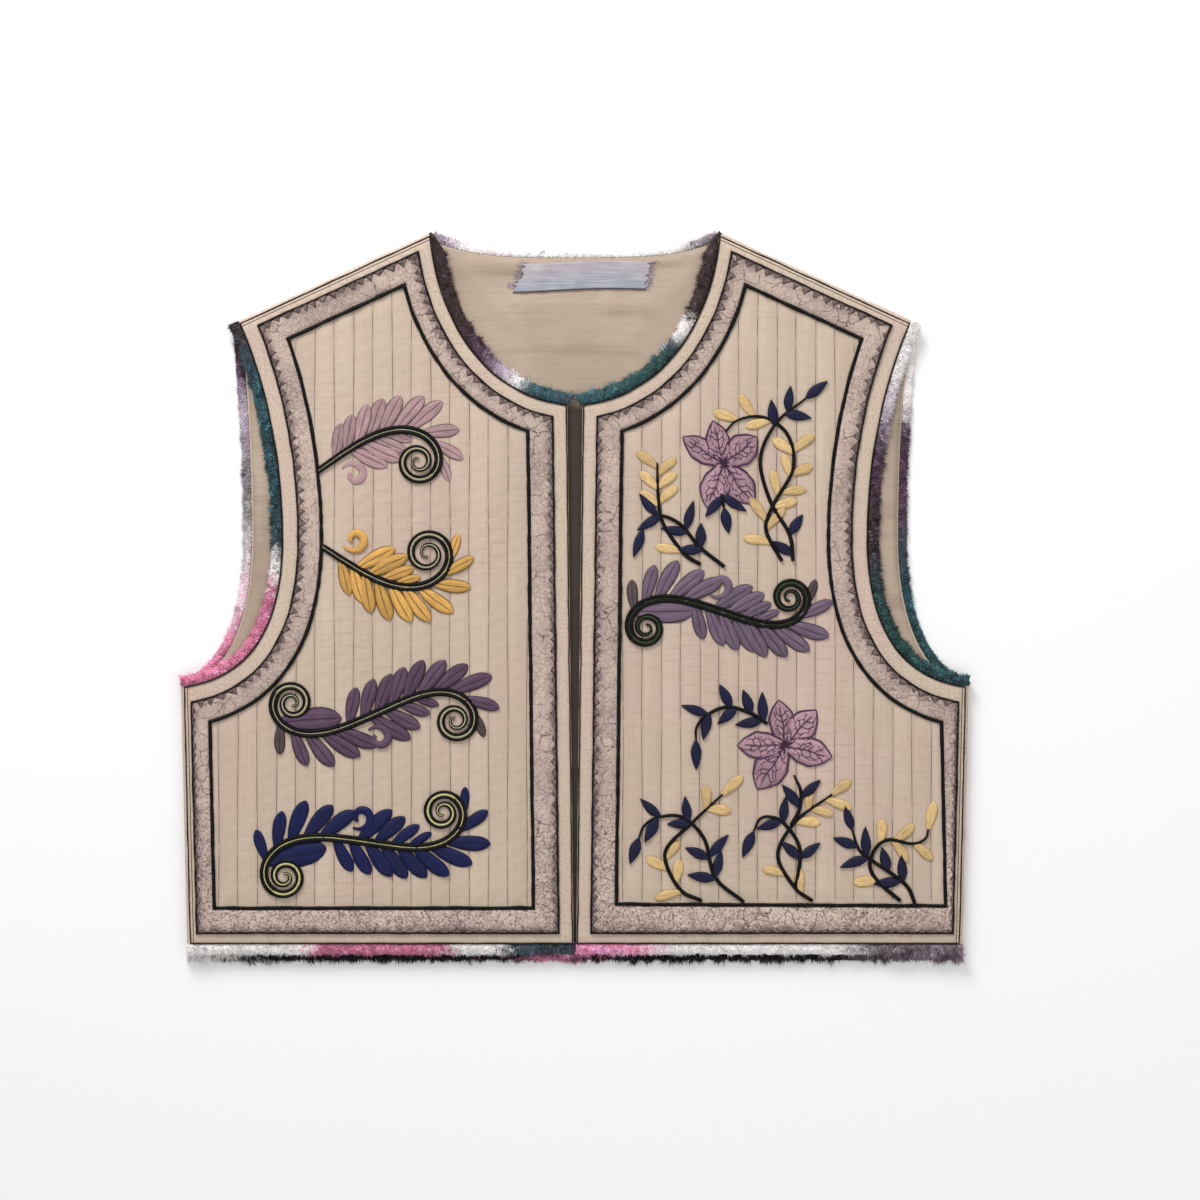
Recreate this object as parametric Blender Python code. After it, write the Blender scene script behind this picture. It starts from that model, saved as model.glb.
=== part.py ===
"""Embroidered waistcoat, open at the front and laid out flat on its back.

Metres, +Z up. The garment lies on z = 0 with its hem towards -Y and its neck towards +Y. Its back
lies undermost, with its lining on it, and turns up round the folded sides and shoulders, where it
meets the two fronts. Each front is a quilted wall with its embroidery raised in the outer face, and
carries a border band between two sewn cords. A strip of yarn pile edges the neck, armholes and hem.
Everything is drawn with the hem at y = 0 and the centre front at x = 0, then moved so that the
middle of its box is the origin.
"""

import math
from collections import namedtuple

import bmesh
import bpy
import numpy as np
from mathutils import Vector
from mathutils.geometry import delaunay_2d_cdt

# Cut of one half, from the centre front (x = 0) outwards, seam lines and finished edges
HEM_FRONT = (0.0008, 0.0)
NECK_FRONT = (0.0048, 0.344)
NECK_POINT = (0.0920, 0.4498)
SHOULDER_TIP = (0.2130, 0.3940)
ARMHOLE_FRONT = (0.1870, 0.2580)
ARMHOLE_BACK = (0.2065, 0.2580)
UNDERARM = (0.2475, 0.1645)
SIDE_HEM = (0.2435, 0.0)
BACK_NECK = (0.0, 0.4380)

# Walls, from the table upwards
BACK_WALL = 0.0026
LINING_WALL = 0.0010
FRONT_WALL = 0.0026
GAP = 0.0003
LINING_TUCK = 0.0060
LINING_INSET = 0.0015
LINING_LOW = BACK_WALL + GAP
FRONT_LOW = LINING_LOW + LINING_WALL + GAP

# Folded sides and shoulders
FOLD_RADIUS = 0.0042
FOLD_STEPS = 5
FOLD_LIFT = 2 * FOLD_RADIUS - FRONT_WALL - FRONT_LOW
FOLD_REACH = 0.018
EDGE_ROUND = 0.0010
SEAM_ROUND = 0.0002
EDGE_SHARE = 0.6

# Border band and its cords, measured in from the edge: strip of plain cloth, then band
Border = namedtuple("Border", "strip band")
BORDERS = {
    "hem": Border(0.0070, 0.0160),
    "side": Border(0.0024, 0.0115),
    "armhole": Border(0.0105, 0.0148),
    "shoulder": Border(0.0040, 0.0156),
    "neck": Border(0.0090, 0.0130),
    "front": Border(0.0095, 0.0160),
}
# The left front's band is sewn unevenly: its change of width at the start and the end of an edge
LEFT_BAND = {"hem": (0.0026, 0.0014), "side": (-0.0075, 0.0)}
EDGE_STEPS = {"hem": 8, "side": 6, "armhole": 14, "shoulder": 5, "neck": 12, "front": 9}
BAND_WALL = 0.0010
OUTER_CORD = 0.0015
INNER_CORD = 0.0023
CORD_HIGH = 0.0016
CORD_PROFILE = ((-0.5, 0.0), (-0.42, 0.6), (0.0, 1.0), (0.42, 0.6), (0.5, 0.0))
QUILT_START = 0.0019

# Quilting
CHANNEL = 0.0123
FIRST_CHANNEL = 0.0060
PUFF = 0.0009
PUFF_EDGE = 0.0060
QUILT_ROW = 0.055
SEAM_STEPS = 8

# Beyond the ends of an edge that is moved inwards, how far it is drawn on to meet its neighbours
SPARE = 0.03

# Embroidery: raised lobes and leaves, and stems that wind up evenly into spirals
LOBE_HIGH = 0.0021
FLAT_HIGH = 0.0009
STEM_HIGH = 0.0019
PLUME_STEM = 0.0028
THINNEST_STEM = 0.0009
STEM_TO_RADIUS = 0.30
SPIRAL_TURNS = 1.78
SPIRAL_CENTRE = 0.0011
TURN_STEPS = 9
MIDDLE_STEPS = 10
SWAY = 0.56
LOBE_LENGTH = 0.0275
LOBE_WIDTH = 0.0100
BIG_LOBE = (0.0390, 0.0155)
BIG_LOBE_AT = 0.12
BIG_LOBE_AIM = 0.26
BIG_LOBE_TURN = 0.20
HOOK_STEPS = 8
HOOK_RADIUS = 0.0072
HOOK_STEM = 0.0026
HOOK_AWAY = 0.0078
HOOK_TURN = 0.30
VINE_STEM = 0.0012
NAVY_LEAF = (0.0180, 0.0068)
GOLD_LEAF = (0.0165, 0.0070)
VINE_SPREAD = math.radians(45)
PETAL_START = 0.0015
RELIEF_EDGE = 0.0020
CLEAR_OF_RELIEF = 0.0012
MERGE = 0.00012

# Pile edging
PILE_FRONT = 0.0080
PILE_BACK = 0.0065
PILE_HEM = 0.0090
PILE_BACK_HEM = 0.0125
PILE_HIGH = 0.0042
PILE_BACK_HIGH = LINING_LOW + LINING_WALL - GAP

# Section of a strip of pile: rows of share of its reach, share of its height
PILE_PROFILE = ((0.0, 0.12), (0.25, 0.0), (0.8, 0.1), (1.0, 0.45), (0.85, 0.85), (0.45, 1.0), (0.0, 0.8))

# Neck label
LABEL_CENTRE = (0.0058, 0.4262)
LABEL_SIZE = (0.0820, 0.0180)
LABEL_WALL = 0.0010
LABEL_TEETH = 5
LABEL_TOOTH = 0.0022

CLOTHS = {
    "quilted_cloth": ((0.76, 0.67, 0.57), 0.85),
    "lining_cloth": ((0.72, 0.63, 0.53), 0.8),
    "border_band": ((0.56, 0.47, 0.46), 0.85),
    "black_cord": ((0.03, 0.025, 0.025), 0.55),
    "yarn_pile": ((0.42, 0.33, 0.38), 0.95),
    "label_tape": ((0.50, 0.50, 0.57), 0.7),
}

# Height of a stem: rows of share of its half width, share of its height
DOUBLE_STEM = ((0.0, 0.45), (0.52, 1.0), (1.0, 0.0))
SINGLE_STEM = ((0.0, 1.0), (1.0, 0.0))

# Shape of a raised petal or leaf: rows of share of its length, share of its half width
LEAF_SHAPES = {
    "leaf": ((0.0, 0.0), (0.32, 0.95), (0.66, 0.85), (1.0, 0.0)),
    "lobe": ((0.0, 0.1), (0.36, 0.75), (0.74, 1.0), (0.94, 0.6), (1.0, 0.0)),
    "petal": ((0.0, 0.2), (0.34, 0.85), (0.62, 1.0), (0.86, 0.5), (1.0, 0.0)),
}

# Plumes: the centres of the end spirals, or the root and the centre of the one spiral, and which way
# that one turns. The middle stretch and the spirals' radius are shares of the way between the two
Plume = namedtuple("Plume", "front start end turn two_ended middle radius hook high")
PLUMES = (
    Plume("right", (-0.1639, 0.3018), (-0.0994, 0.3070), -1, False, 1.48, 0.174, 0.13, FLAT_HIGH),
    Plume("right", (-0.1610, 0.2535), (-0.0934, 0.2500), 1, False, 1.33, 0.160, 0.10, LOBE_HIGH),
    Plume("right", (-0.1810, 0.1545), (-0.0755, 0.1420), -1, True, 1.56, 0.110, 0.46, LOBE_HIGH),
    Plume("right", (-0.1856, 0.0422), (-0.0838, 0.0851), 1, True, 1.84, 0.124, 0.46, LOBE_HIGH),
    Plume("left", (0.0450, 0.2012), (0.1376, 0.2214), 1, True, 1.56, 0.110, 0.45, LOBE_HIGH),
)

# Lobes along a plume's middle stretch: the row's first and last share of it, how many lobes, their
# spread from the stem in degrees, and their size. The outer row runs on round the end spiral
LobeRow = namedtuple("LobeRow", "outer first last count spread sizes")
TWO_ENDED_ROWS = (
    LobeRow(True, 0.40, 0.93, 10, (62, 50, 47, 36, 6), (0.88, 0.98, 1.00, 1.06, 0.66)),
    LobeRow(False, 0.12, 0.35, 5, (44, 54, 42), (0.76, 1.00, 1.02)),
    LobeRow(False, 0.49, 0.67, 4, (56, 52, 40), (1.05, 0.95, 0.78, 0.62)),
)
ONE_ENDED_ROWS = (
    LobeRow(True, 0.13, 0.87, 10, (50, 52, 46, 10), (0.84, 1.00, 1.02, 0.70)),
    LobeRow(False, 0.24, 0.48, 4, (62, 52, 36), (0.98, 1.00, 0.85, 0.66)),
)

# Vines of the left front, from root to tip. The leaves' places are shares of the stem's length,
# minus on its right side, and 1 at its tip
Vine = namedtuple("Vine", "points gold navy")
VINES = (
    Vine(((0.0801, 0.2422), (0.0693, 0.2494), (0.0561, 0.2687), (0.0532, 0.2850), (0.0525, 0.3070)),
         (0.20, 0.64, 0.78, 0.96, -0.66, -0.79, -0.90), ()),
    Vine(((0.0954, 0.2407), (0.0795, 0.2534), (0.0673, 0.2677), (0.0540, 0.2736), (0.0462, 0.2702),
          (0.0436, 0.2645)),
         (), (0.25, 0.46, 0.76, -0.28, -0.49, -0.80, 1.0)),
    Vine(((0.1321, 0.2443), (0.1219, 0.2640), (0.1265, 0.2800), (0.1392, 0.3034), (0.1357, 0.3249),
          (0.1204, 0.3361), (0.1040, 0.3343), (0.0962, 0.3270)),
         (0.10, 0.21, 0.34, 0.45, 0.56, 0.76, -0.17, -0.28, -0.36, -0.46, -0.57, -0.84, -0.92), ()),
    Vine(((0.1392, 0.2443), (0.1367, 0.2616), (0.1244, 0.2830), (0.1183, 0.3096), (0.1285, 0.3325),
          (0.1469, 0.3478)),
         (), (0.03, 0.78, 0.88, -0.14, -0.86, 1.0)),
    Vine(((0.0938, 0.2870), (0.0942, 0.2830), (0.0950, 0.2785)), (), (0.1, -0.1, 1.0)),
    Vine(((0.1229, 0.1405), (0.1118, 0.1474), (0.0970, 0.1512), (0.0840, 0.1460), (0.0776, 0.1382),
          (0.0772, 0.1306)),
         (), (0.06, 0.36, 0.66, -0.04, -0.20, -0.42, -0.68, 1.0)),
    Vine(((0.1078, 0.0268), (0.0895, 0.0425), (0.0824, 0.0673), (0.0680, 0.0811), (0.0520, 0.0805),
          (0.0440, 0.0752), (0.0410, 0.0680)),
         (), (0.22, 0.35, 0.60, 0.82, -0.23, -0.36, -0.62, -0.80, 1.0)),
    Vine(((0.0810, 0.0275), (0.0667, 0.0353), (0.0575, 0.0582), (0.0745, 0.0771), (0.0941, 0.0954)),
         (0.15, 0.33, 0.85, -0.22, -0.40, -0.86, 1.0), ()),
    Vine(((0.1409, 0.0360), (0.1435, 0.0608), (0.1333, 0.0771), (0.1240, 0.0812), (0.1178, 0.0796),
          (0.1142, 0.0722)),
         (), (0.26, 0.66, -0.27, -0.64, 1.0)),
    Vine(((0.1516, 0.0275), (0.1405, 0.0360), (0.1294, 0.0569), (0.1411, 0.0784), (0.1640, 0.0955)),
         (0.27, 0.80, -0.10, -0.68, -0.82, -0.94, 1.0), ()),
    Vine(((0.1379, 0.0758), (0.1431, 0.0856), (0.1441, 0.0974), (0.1398, 0.1078)), (), (0.36, -0.55)),
    Vine(((0.2169, 0.0262), (0.2103, 0.0386), (0.1881, 0.0543), (0.1810, 0.0608), (0.1770, 0.0726)),
         (), (0.26, 0.66, 0.82, -0.24, -0.42, -0.68, 1.0)),
    Vine(((0.2077, 0.0275), (0.1934, 0.0399), (0.1881, 0.0504), (0.1926, 0.0622), (0.2007, 0.0666),
          (0.2150, 0.0640), (0.2234, 0.0671), (0.2254, 0.0732)),
         (0.22, 0.56, 0.68, -0.66, -0.83, 1.0), ()),
)

# Flowers: directions of the petals in degrees, with the length and width of each
Flower = namedtuple("Flower", "centre angles lengths widths")
FLOWERS = (
    Flower((0.0950, 0.3065), (150, 106, 38, -57, -110), (0.031, 0.028, 0.027, 0.032, 0.030),
           (0.0150, 0.0150, 0.0200, 0.0190, 0.0190)),
    Flower((0.1338, 0.1268), (179, 95, 47, -15, -121), (0.030, 0.029, 0.030, 0.031, 0.033),
           (0.0175, 0.0165, 0.0185, 0.0185, 0.0215)),
)

# A leaf's rib rises and falls over these shares of its length
RIB_RISE = 0.28
RIB_FALL = 0.22

Leaf = namedtuple("Leaf", "base angle length width shape high")
Stem = namedtuple("Stem", "points widths doubled")
Face = namedtuple("Face", "vertices triangles rim")


# Curves in the plane


def bezier(p0, p1, p2, p3, steps):
    """Points along one cubic arc, both ends included."""
    t = np.linspace(0.0, 1.0, steps + 1)[:, None]
    p0, p1, p2, p3 = (np.array(p, float) for p in (p0, p1, p2, p3))
    return (1 - t) ** 3 * p0 + 3 * (1 - t) ** 2 * t * p1 + 3 * (1 - t) * t**2 * p2 + t**3 * p3


def line(start, end, steps):
    return np.linspace(start, end, steps + 1)


def lengths_along(points):
    return np.concatenate([[0.0], np.cumsum(np.linalg.norm(np.diff(points, axis=0), axis=1))])


def resampled(points, steps):
    """The polyline again, with evenly spaced points."""
    along = lengths_along(points)
    at = np.linspace(0.0, along[-1], steps + 1)
    return np.stack([np.interp(at, along, points[:, axis]) for axis in (0, 1)], axis=1)


def smooth_through(points, per_span):
    """A Catmull-Rom curve through the points."""
    p = np.array(points, float)
    p = np.vstack([2 * p[0] - p[1], p, 2 * p[-1] - p[-2]])
    spans = []
    for a, b, c, d in zip(p[:-3], p[1:-2], p[2:-1], p[3:]):
        spans.append(bezier(b, b + (c - a) / 6, c - (d - b) / 6, c, per_span)[:-1])
    return np.vstack([*spans, p[-2]])


def left_normals(points):
    """Unit normals on the left of the polyline's travel, mitred at its points."""
    steps = np.diff(points, axis=0)
    steps /= np.linalg.norm(steps, axis=1)[:, None]
    mean = np.vstack([steps[:1], steps[:-1] + steps[1:], steps[-1:]])
    mean /= np.linalg.norm(mean, axis=1)[:, None]
    normals = np.stack([-mean[:, 1], mean[:, 0]], axis=1)
    turn = np.concatenate([[1.0], (mean[1:-1] * steps[1:]).sum(1), [1.0]])
    return normals / np.maximum(turn, 0.5)[:, None]


def crossing(first, second):
    """Where the end of the first polyline meets the start of the second, with the place on each."""
    for i in range(len(first) - 1, 0, -1):
        for j in range(len(second) - 1):
            a, b = first[i - 1], first[i]
            c, d = second[j], second[j + 1]
            matrix = np.array([b - a, c - d]).T
            if abs(np.linalg.det(matrix)) < 1e-14:
                continue
            s, t = np.linalg.solve(matrix, c - a)
            if -1e-9 <= s <= 1 + 1e-9 and -1e-9 <= t <= 1 + 1e-9:
                return a + s * (b - a), i, j
    raise ValueError("two edges of a panel don't meet")


def offset_loop(edges, distances):
    """The closed outline of named edges, each moved inwards by its own distance and cut where it
    meets its neighbours. Every edge keeps its number of points."""
    names = list(edges)
    moved = []
    for name in names:
        points = edges[name]
        shifted = points + left_normals(points) * distances[name]
        before = (shifted[0] - shifted[1]) / np.linalg.norm(shifted[0] - shifted[1])
        after = (shifted[-1] - shifted[-2]) / np.linalg.norm(shifted[-1] - shifted[-2])
        moved.append(np.vstack([shifted[0] + SPARE * before, shifted, shifted[-1] + SPARE * after]))
    corners = [crossing(moved[k - 1], moved[k]) for k in range(len(names))]
    loop = {}
    for k, name in enumerate(names):
        start, _, first = corners[k]
        end, last, _ = corners[(k + 1) % len(names)]
        inside = moved[k][first + 1 : last]
        loop[name] = resampled(np.vstack([start, inside, end]), len(edges[name]) - 1)
    return loop


def ring(loop):
    """The loop's points in order, each corner once."""
    return np.vstack([points[:-1] for points in loop.values()])


def inside(points, polygon):
    """Which points lie inside the closed polygon."""
    points = np.atleast_2d(points)
    x, y = points[:, 0], points[:, 1]
    result = np.zeros(len(points), bool)
    for (x0, y0), (x1, y1) in zip(polygon, np.roll(polygon, -1, axis=0)):
        spans = (y0 > y) != (y1 > y)
        rise = y1 - y0 if y1 != y0 else 1e-12
        result ^= spans & (x < (x1 - x0) * (y - y0) / rise + x0)
    return result


def distance_to(points, path):
    """Distance from each point to a polyline."""
    points = np.atleast_2d(points)
    best = np.full(len(points), np.inf)
    for a, b in zip(path[:-1], path[1:]):
        step = b - a
        share = np.clip(((points - a) @ step) / max(step @ step, 1e-16), 0, 1)
        best = np.minimum(best, np.linalg.norm(points - a - share[:, None] * step, axis=1))
    return best


# The cut


def armhole_of(deepest, low, high):
    """An armhole's edge from the underarm up, past its deepest point, to the shoulder."""
    steps = EDGE_STEPS["armhole"]
    lower = bezier(UNDERARM, low, (deepest[0], 0.2060), deepest, steps // 2)
    upper = bezier(deepest, (deepest[0], 0.3150), high, SHOULDER_TIP, steps // 2)
    return resampled(np.vstack([lower, upper[1:]]), steps)


def front_edges():
    """One front's edges, anticlockwise, in the half x >= 0."""
    return {
        "hem": line(HEM_FRONT, SIDE_HEM, EDGE_STEPS["hem"]),
        "side": line(SIDE_HEM, UNDERARM, EDGE_STEPS["side"]),
        "armhole": armhole_of(ARMHOLE_FRONT, (0.2050, 0.1710), (0.1990, 0.3600)),
        "shoulder": line(SHOULDER_TIP, NECK_POINT, EDGE_STEPS["shoulder"]),
        "neck": bezier(NECK_POINT, (0.0860, 0.3950), (0.0560, 0.3500), NECK_FRONT, EDGE_STEPS["neck"]),
        "front": line(NECK_FRONT, HEM_FRONT, EDGE_STEPS["front"]),
    }


def mirrored(points):
    return (np.array(points) * (-1, 1))[::-1]


def back_edges():
    """The whole back's edges, anticlockwise."""
    armhole = armhole_of(ARMHOLE_BACK, (0.2230, 0.1720), (0.2100, 0.3600))
    side = line(SIDE_HEM, UNDERARM, EDGE_STEPS["side"])
    shoulder = line(SHOULDER_TIP, NECK_POINT, EDGE_STEPS["shoulder"])
    steps = EDGE_STEPS["neck"] // 2
    half_neck = bezier(NECK_POINT, (0.0700, 0.4385), (0.0400, BACK_NECK[1]), BACK_NECK, steps)
    return {
        "hem": line((-SIDE_HEM[0], 0.0), SIDE_HEM, 2 * EDGE_STEPS["hem"]),
        "side_left": side,
        "armhole_left": armhole,
        "shoulder_left": shoulder,
        "neck": np.vstack([half_neck, mirrored(half_neck)[1:]]),
        "shoulder_right": mirrored(shoulder),
        "armhole_right": mirrored(armhole),
        "side_right": mirrored(side),
    }


FOLDS = (np.array([SIDE_HEM, UNDERARM]), np.array([SHOULDER_TIP, NECK_POINT]))


def front_lift(points):
    """How far a front stands above its lowest level: it rises to the folds at side and shoulder."""
    points = np.abs(np.atleast_2d(points) * (1, 0)) + np.atleast_2d(points) * (0, 1)
    near = np.minimum(distance_to(points, FOLDS[0]), distance_to(points, FOLDS[1]))
    return FOLD_LIFT * np.exp(-((near / FOLD_REACH) ** 2))


def front_top(points):
    return FRONT_LOW + FRONT_WALL + front_lift(points)


# Embroidery


def walk(start, heading, bends):
    """The path that sets out from a point and takes each stride while it turns by a bend."""
    points = [np.array(start, float)]
    for stride, bend in bends:
        heading += bend / 2
        points.append(points[-1] + stride * np.array([math.cos(heading), math.sin(heading)]))
        heading += bend / 2
    return np.array(points)


def scroll(plume):
    """A plume's stem: an S or C curve that winds up into a spiral at its end, or at both ends.
    Returns it with the shares of its length where the middle stretch starts and stops."""
    arc = 2 * math.pi / TURN_STEPS
    turns = np.arange(round(SPIRAL_TURNS * TURN_STEPS)) / TURN_STEPS
    span = np.array(plume.end) - np.array(plume.start)
    way = np.linalg.norm(span)
    outmost = plume.radius * way
    radii = outmost - (outmost - SPIRAL_CENTRE) * turns / SPIRAL_TURNS
    step = plume.middle * way / MIDDLE_STEPS
    bends, widths = [], []
    if plume.two_ended:
        bends += [(arc * r, -plume.turn * arc) for r in radii[::-1]]
        widths += [STEM_TO_RADIUS * r for r in radii[::-1]]
    first = len(bends)
    for k in range(MIDDLE_STEPS):
        share = bend_share((k + 0.5) / MIDDLE_STEPS, plume.two_ended)
        bends.append((step, plume.turn * share * step / outmost))
        widths.append(PLUME_STEM)
    last = len(bends)
    bends += [(arc * r, plume.turn * arc) for r in radii]
    widths += [STEM_TO_RADIUS * r for r in radii] + [STEM_TO_RADIUS * radii[-1]]
    points = walk((0.0, 0.0), 0.0, bends)
    have = spiral_centre(points, -1) - (spiral_centre(points, 0) if plume.two_ended else points[0])
    turn = math.atan2(span[1], span[0]) - math.atan2(have[1], have[0])
    spin = np.array([[math.cos(turn), -math.sin(turn)], [math.sin(turn), math.cos(turn)]])
    points = points @ spin.T * way / np.linalg.norm(have)
    points += np.array(plume.end) - spiral_centre(points, -1)
    along = lengths_along(points)
    widths = np.clip(widths, THINNEST_STEM, PLUME_STEM)
    return Stem(points, widths, True), along[first] / along[-1], along[last] / along[-1]


def bend_share(t, two_ended):
    """How hard a stem bends at a share of its middle stretch, against its spirals' outer turn. It
    sways the other way at first where it starts from a spiral."""
    if not two_ended:
        return t**1.9
    if t < SWAY:
        return -(((SWAY - t) / SWAY) ** 2.1)
    return ((t - SWAY) / (1 - SWAY)) ** 1.5


def spiral_centre(points, end):
    """The middle of the innermost turn at one end of a scroll."""
    inmost = points[:TURN_STEPS] if end == 0 else points[-TURN_STEPS:]
    return inmost.mean(0)


def place_on(path, share):
    """The point at a share of the path's length, and the heading there."""
    along = lengths_along(path)
    at = share * along[-1]
    point = np.array([np.interp(at, along, path[:, axis]) for axis in (0, 1)])
    k = min(max(int(np.searchsorted(along, at)), 1), len(path) - 1)
    step = path[k] - path[k - 1]
    return point, math.atan2(step[1], step[0])


def plume_parts(plume):
    """A plume's lobes, with its stem and the small hook beside it."""
    stem, first, last = scroll(plume)
    middle = last - first
    leaves = []
    for row in TWO_ENDED_ROWS if plume.two_ended else ONE_ENDED_ROWS:
        side = -plume.turn if row.outer else plume.turn
        for t in np.linspace(0.0, 1.0, row.count):
            base, heading = place_on(stem.points, first + (row.first + (row.last - row.first) * t) * middle)
            spread = math.radians(np.interp(t, np.linspace(0.0, 1.0, len(row.spread)), row.spread))
            size = np.interp(t, np.linspace(0.0, 1.0, len(row.sizes)), row.sizes)
            angle = heading + side * spread
            width = LOBE_WIDTH * min(1.0, size) ** 1.2
            leaves.append(Leaf(base, angle, LOBE_LENGTH * size, width, "lobe", plume.high))
    if plume.two_ended:
        leaves.append(big_lobe(plume, stem.points, first, middle))
    return leaves, [hook_of(plume, stem.points, first, middle), stem]


def big_lobe(plume, path, first, middle):
    """The broad lobe that fills the bend beside the plume's start."""
    share = first + BIG_LOBE_AT * middle
    base, _ = place_on(path, share)
    ahead, _ = place_on(path, share + BIG_LOBE_AIM * middle)
    step = ahead - base
    angle = math.atan2(step[1], step[0]) - plume.turn * BIG_LOBE_TURN
    return Leaf(base, angle, *BIG_LOBE, "lobe", plume.high)


def hook_of(plume, path, first, middle):
    """The small hook that stands beside a plume's stem."""
    base, heading = place_on(path, first + plume.hook * middle)
    arc = 2 * math.pi / HOOK_STEPS
    sideways = plume.turn * np.array([-math.sin(heading), math.cos(heading)])
    radii = HOOK_RADIUS * np.interp(range(HOOK_STEPS), (0, 2, HOOK_STEPS - 1), (1.25, 0.85, 0.40))
    bends = [(arc * r, plume.turn * arc) for r in radii]
    hook = walk(base + HOOK_AWAY * sideways, heading - plume.turn * HOOK_TURN, bends)
    widths = HOOK_STEM * np.interp(range(len(hook)), (0, 2, 4, len(hook) - 1), (0.25, 0.95, 1.05, 0.45))
    return Stem(hook, widths, False)


def vine_parts(vine):
    """A vine's stem and its leaves, which all grow towards its tip."""
    path = resampled(smooth_through(vine.points, 6), 3 * len(vine.points))
    leaves = []
    for shape, size, places in (("lobe", GOLD_LEAF, vine.gold), ("leaf", NAVY_LEAF, vine.navy)):
        for place in places:
            base, heading = place_on(path, abs(place))
            spread = 0.0 if place == 1.0 else math.copysign(VINE_SPREAD, place)
            leaves.append(Leaf(base, heading + spread, *size, shape, LOBE_HIGH))
    return leaves, Stem(path, np.full(len(path), VINE_STEM), False)


def embroidery(front):
    """The raised leaves and stems of one front."""
    leaves, stems = [], []
    for plume in PLUMES:
        if plume.front == front:
            lobes, parts = plume_parts(plume)
            leaves += lobes
            stems += parts
    if front == "right":
        return leaves, stems
    for vine in VINES:
        grown, stem = vine_parts(vine)
        leaves += grown
        stems.append(stem)
    for flower in FLOWERS:
        for degrees, length, width in zip(flower.angles, flower.lengths, flower.widths):
            angle = math.radians(degrees)
            start = np.array(flower.centre) + PETAL_START * np.array([math.cos(angle), math.sin(angle)])
            leaves.append(Leaf(start, angle, length, width, "petal", LOBE_HIGH))
    return leaves, stems


def leaf_frame(leaf, points):
    """Each point as share of the leaf's length and distance from its rib."""
    along = np.array([math.cos(leaf.angle), math.sin(leaf.angle)])
    across = np.array([-along[1], along[0]])
    offset = np.atleast_2d(points) - leaf.base
    return offset @ along / leaf.length, offset @ across


def leaf_outline(leaf):
    along = np.array([math.cos(leaf.angle), math.sin(leaf.angle)])
    across = np.array([-along[1], along[0]])
    rows = LEAF_SHAPES[leaf.shape]
    left = [leaf.base + along * u * leaf.length + across * w * leaf.width / 2 for u, w in rows]
    right = [leaf.base + along * u * leaf.length - across * w * leaf.width / 2 for u, w in rows]
    points = left + right[::-1]
    keep = [points[0]]
    for point in points[1:]:
        if np.linalg.norm(point - keep[-1]) > MERGE and np.linalg.norm(point - keep[0]) > MERGE:
            keep.append(point)
    return np.array(keep)


def leaf_rib(leaf):
    along = np.array([math.cos(leaf.angle), math.sin(leaf.angle)])
    return np.array([leaf.base + along * leaf.length * u for u in (0.0, RIB_RISE, 1.0 - RIB_FALL, 1.0)])


def relief(points, leaves, stems):
    """How far the embroidery stands above the quilted cloth at each point."""
    points = np.atleast_2d(points)
    high = np.zeros(len(points))
    for leaf in leaves:
        u, v = leaf_frame(leaf, points)
        rows = np.array(LEAF_SHAPES[leaf.shape])
        half = np.interp(u, rows[:, 0], rows[:, 1], left=0.0, right=0.0) * leaf.width / 2
        rib = np.clip(np.minimum(u / RIB_RISE, (1 - u) / RIB_FALL), 0, 1)
        here = leaf.high * rib * np.clip(1 - np.abs(v) / np.maximum(half, 1e-9), 0, 1)
        high = np.maximum(high, here)
    for stem in stems:
        share = share_of_width(points, stem)
        profile = DOUBLE_STEM if stem.doubled else SINGLE_STEM
        high = np.maximum(high, STEM_HIGH * np.interp(share, *zip(*profile)))
    return high


def share_of_width(points, stem):
    """How far each point is from the stem's middle, as a share of its half width there."""
    best = np.full(len(points), np.inf)
    for k, (a, b) in enumerate(zip(stem.points[:-1], stem.points[1:])):
        step = b - a
        share = np.clip(((points - a) @ step) / max(step @ step, 1e-16), 0, 1)
        away = np.linalg.norm(points - a - share[:, None] * step, axis=1)
        best = np.minimum(best, away / (stem.widths[k] * (1 - share) + stem.widths[k + 1] * share))
    return best


def puff(points, field):
    """The quilting's rise between its vertical seams, dying out towards the edge of the field."""
    points = np.atleast_2d(points)
    wave = np.abs(np.sin(np.pi * (np.abs(points[:, 0]) - FIRST_CHANNEL) / CHANNEL))
    edge = distance_to(points, np.vstack([field, field[:1]]))
    return PUFF * wave * np.clip(edge / PUFF_EDGE, 0, 1) * inside(points, field)


# Meshes


class Drawing:
    """Points and lines that a triangulated face has to follow."""

    def __init__(self):
        self.points = []
        self.lines = []

    def add(self, points, closed=False):
        first = len(self.points)
        self.points += [tuple(p) for p in points]
        count = len(points)
        self.lines += [(first + k, first + k + 1) for k in range(count - 1)]
        if closed:
            self.lines.append((first + count - 1, first))

    def triangulated(self):
        vectors = [Vector(p) for p in self.points]
        made = delaunay_2d_cdt(vectors, self.lines, [], 1, MERGE)
        return np.array([tuple(p) for p in made[0]]), [tuple(f) for f in made[2]]


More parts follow.
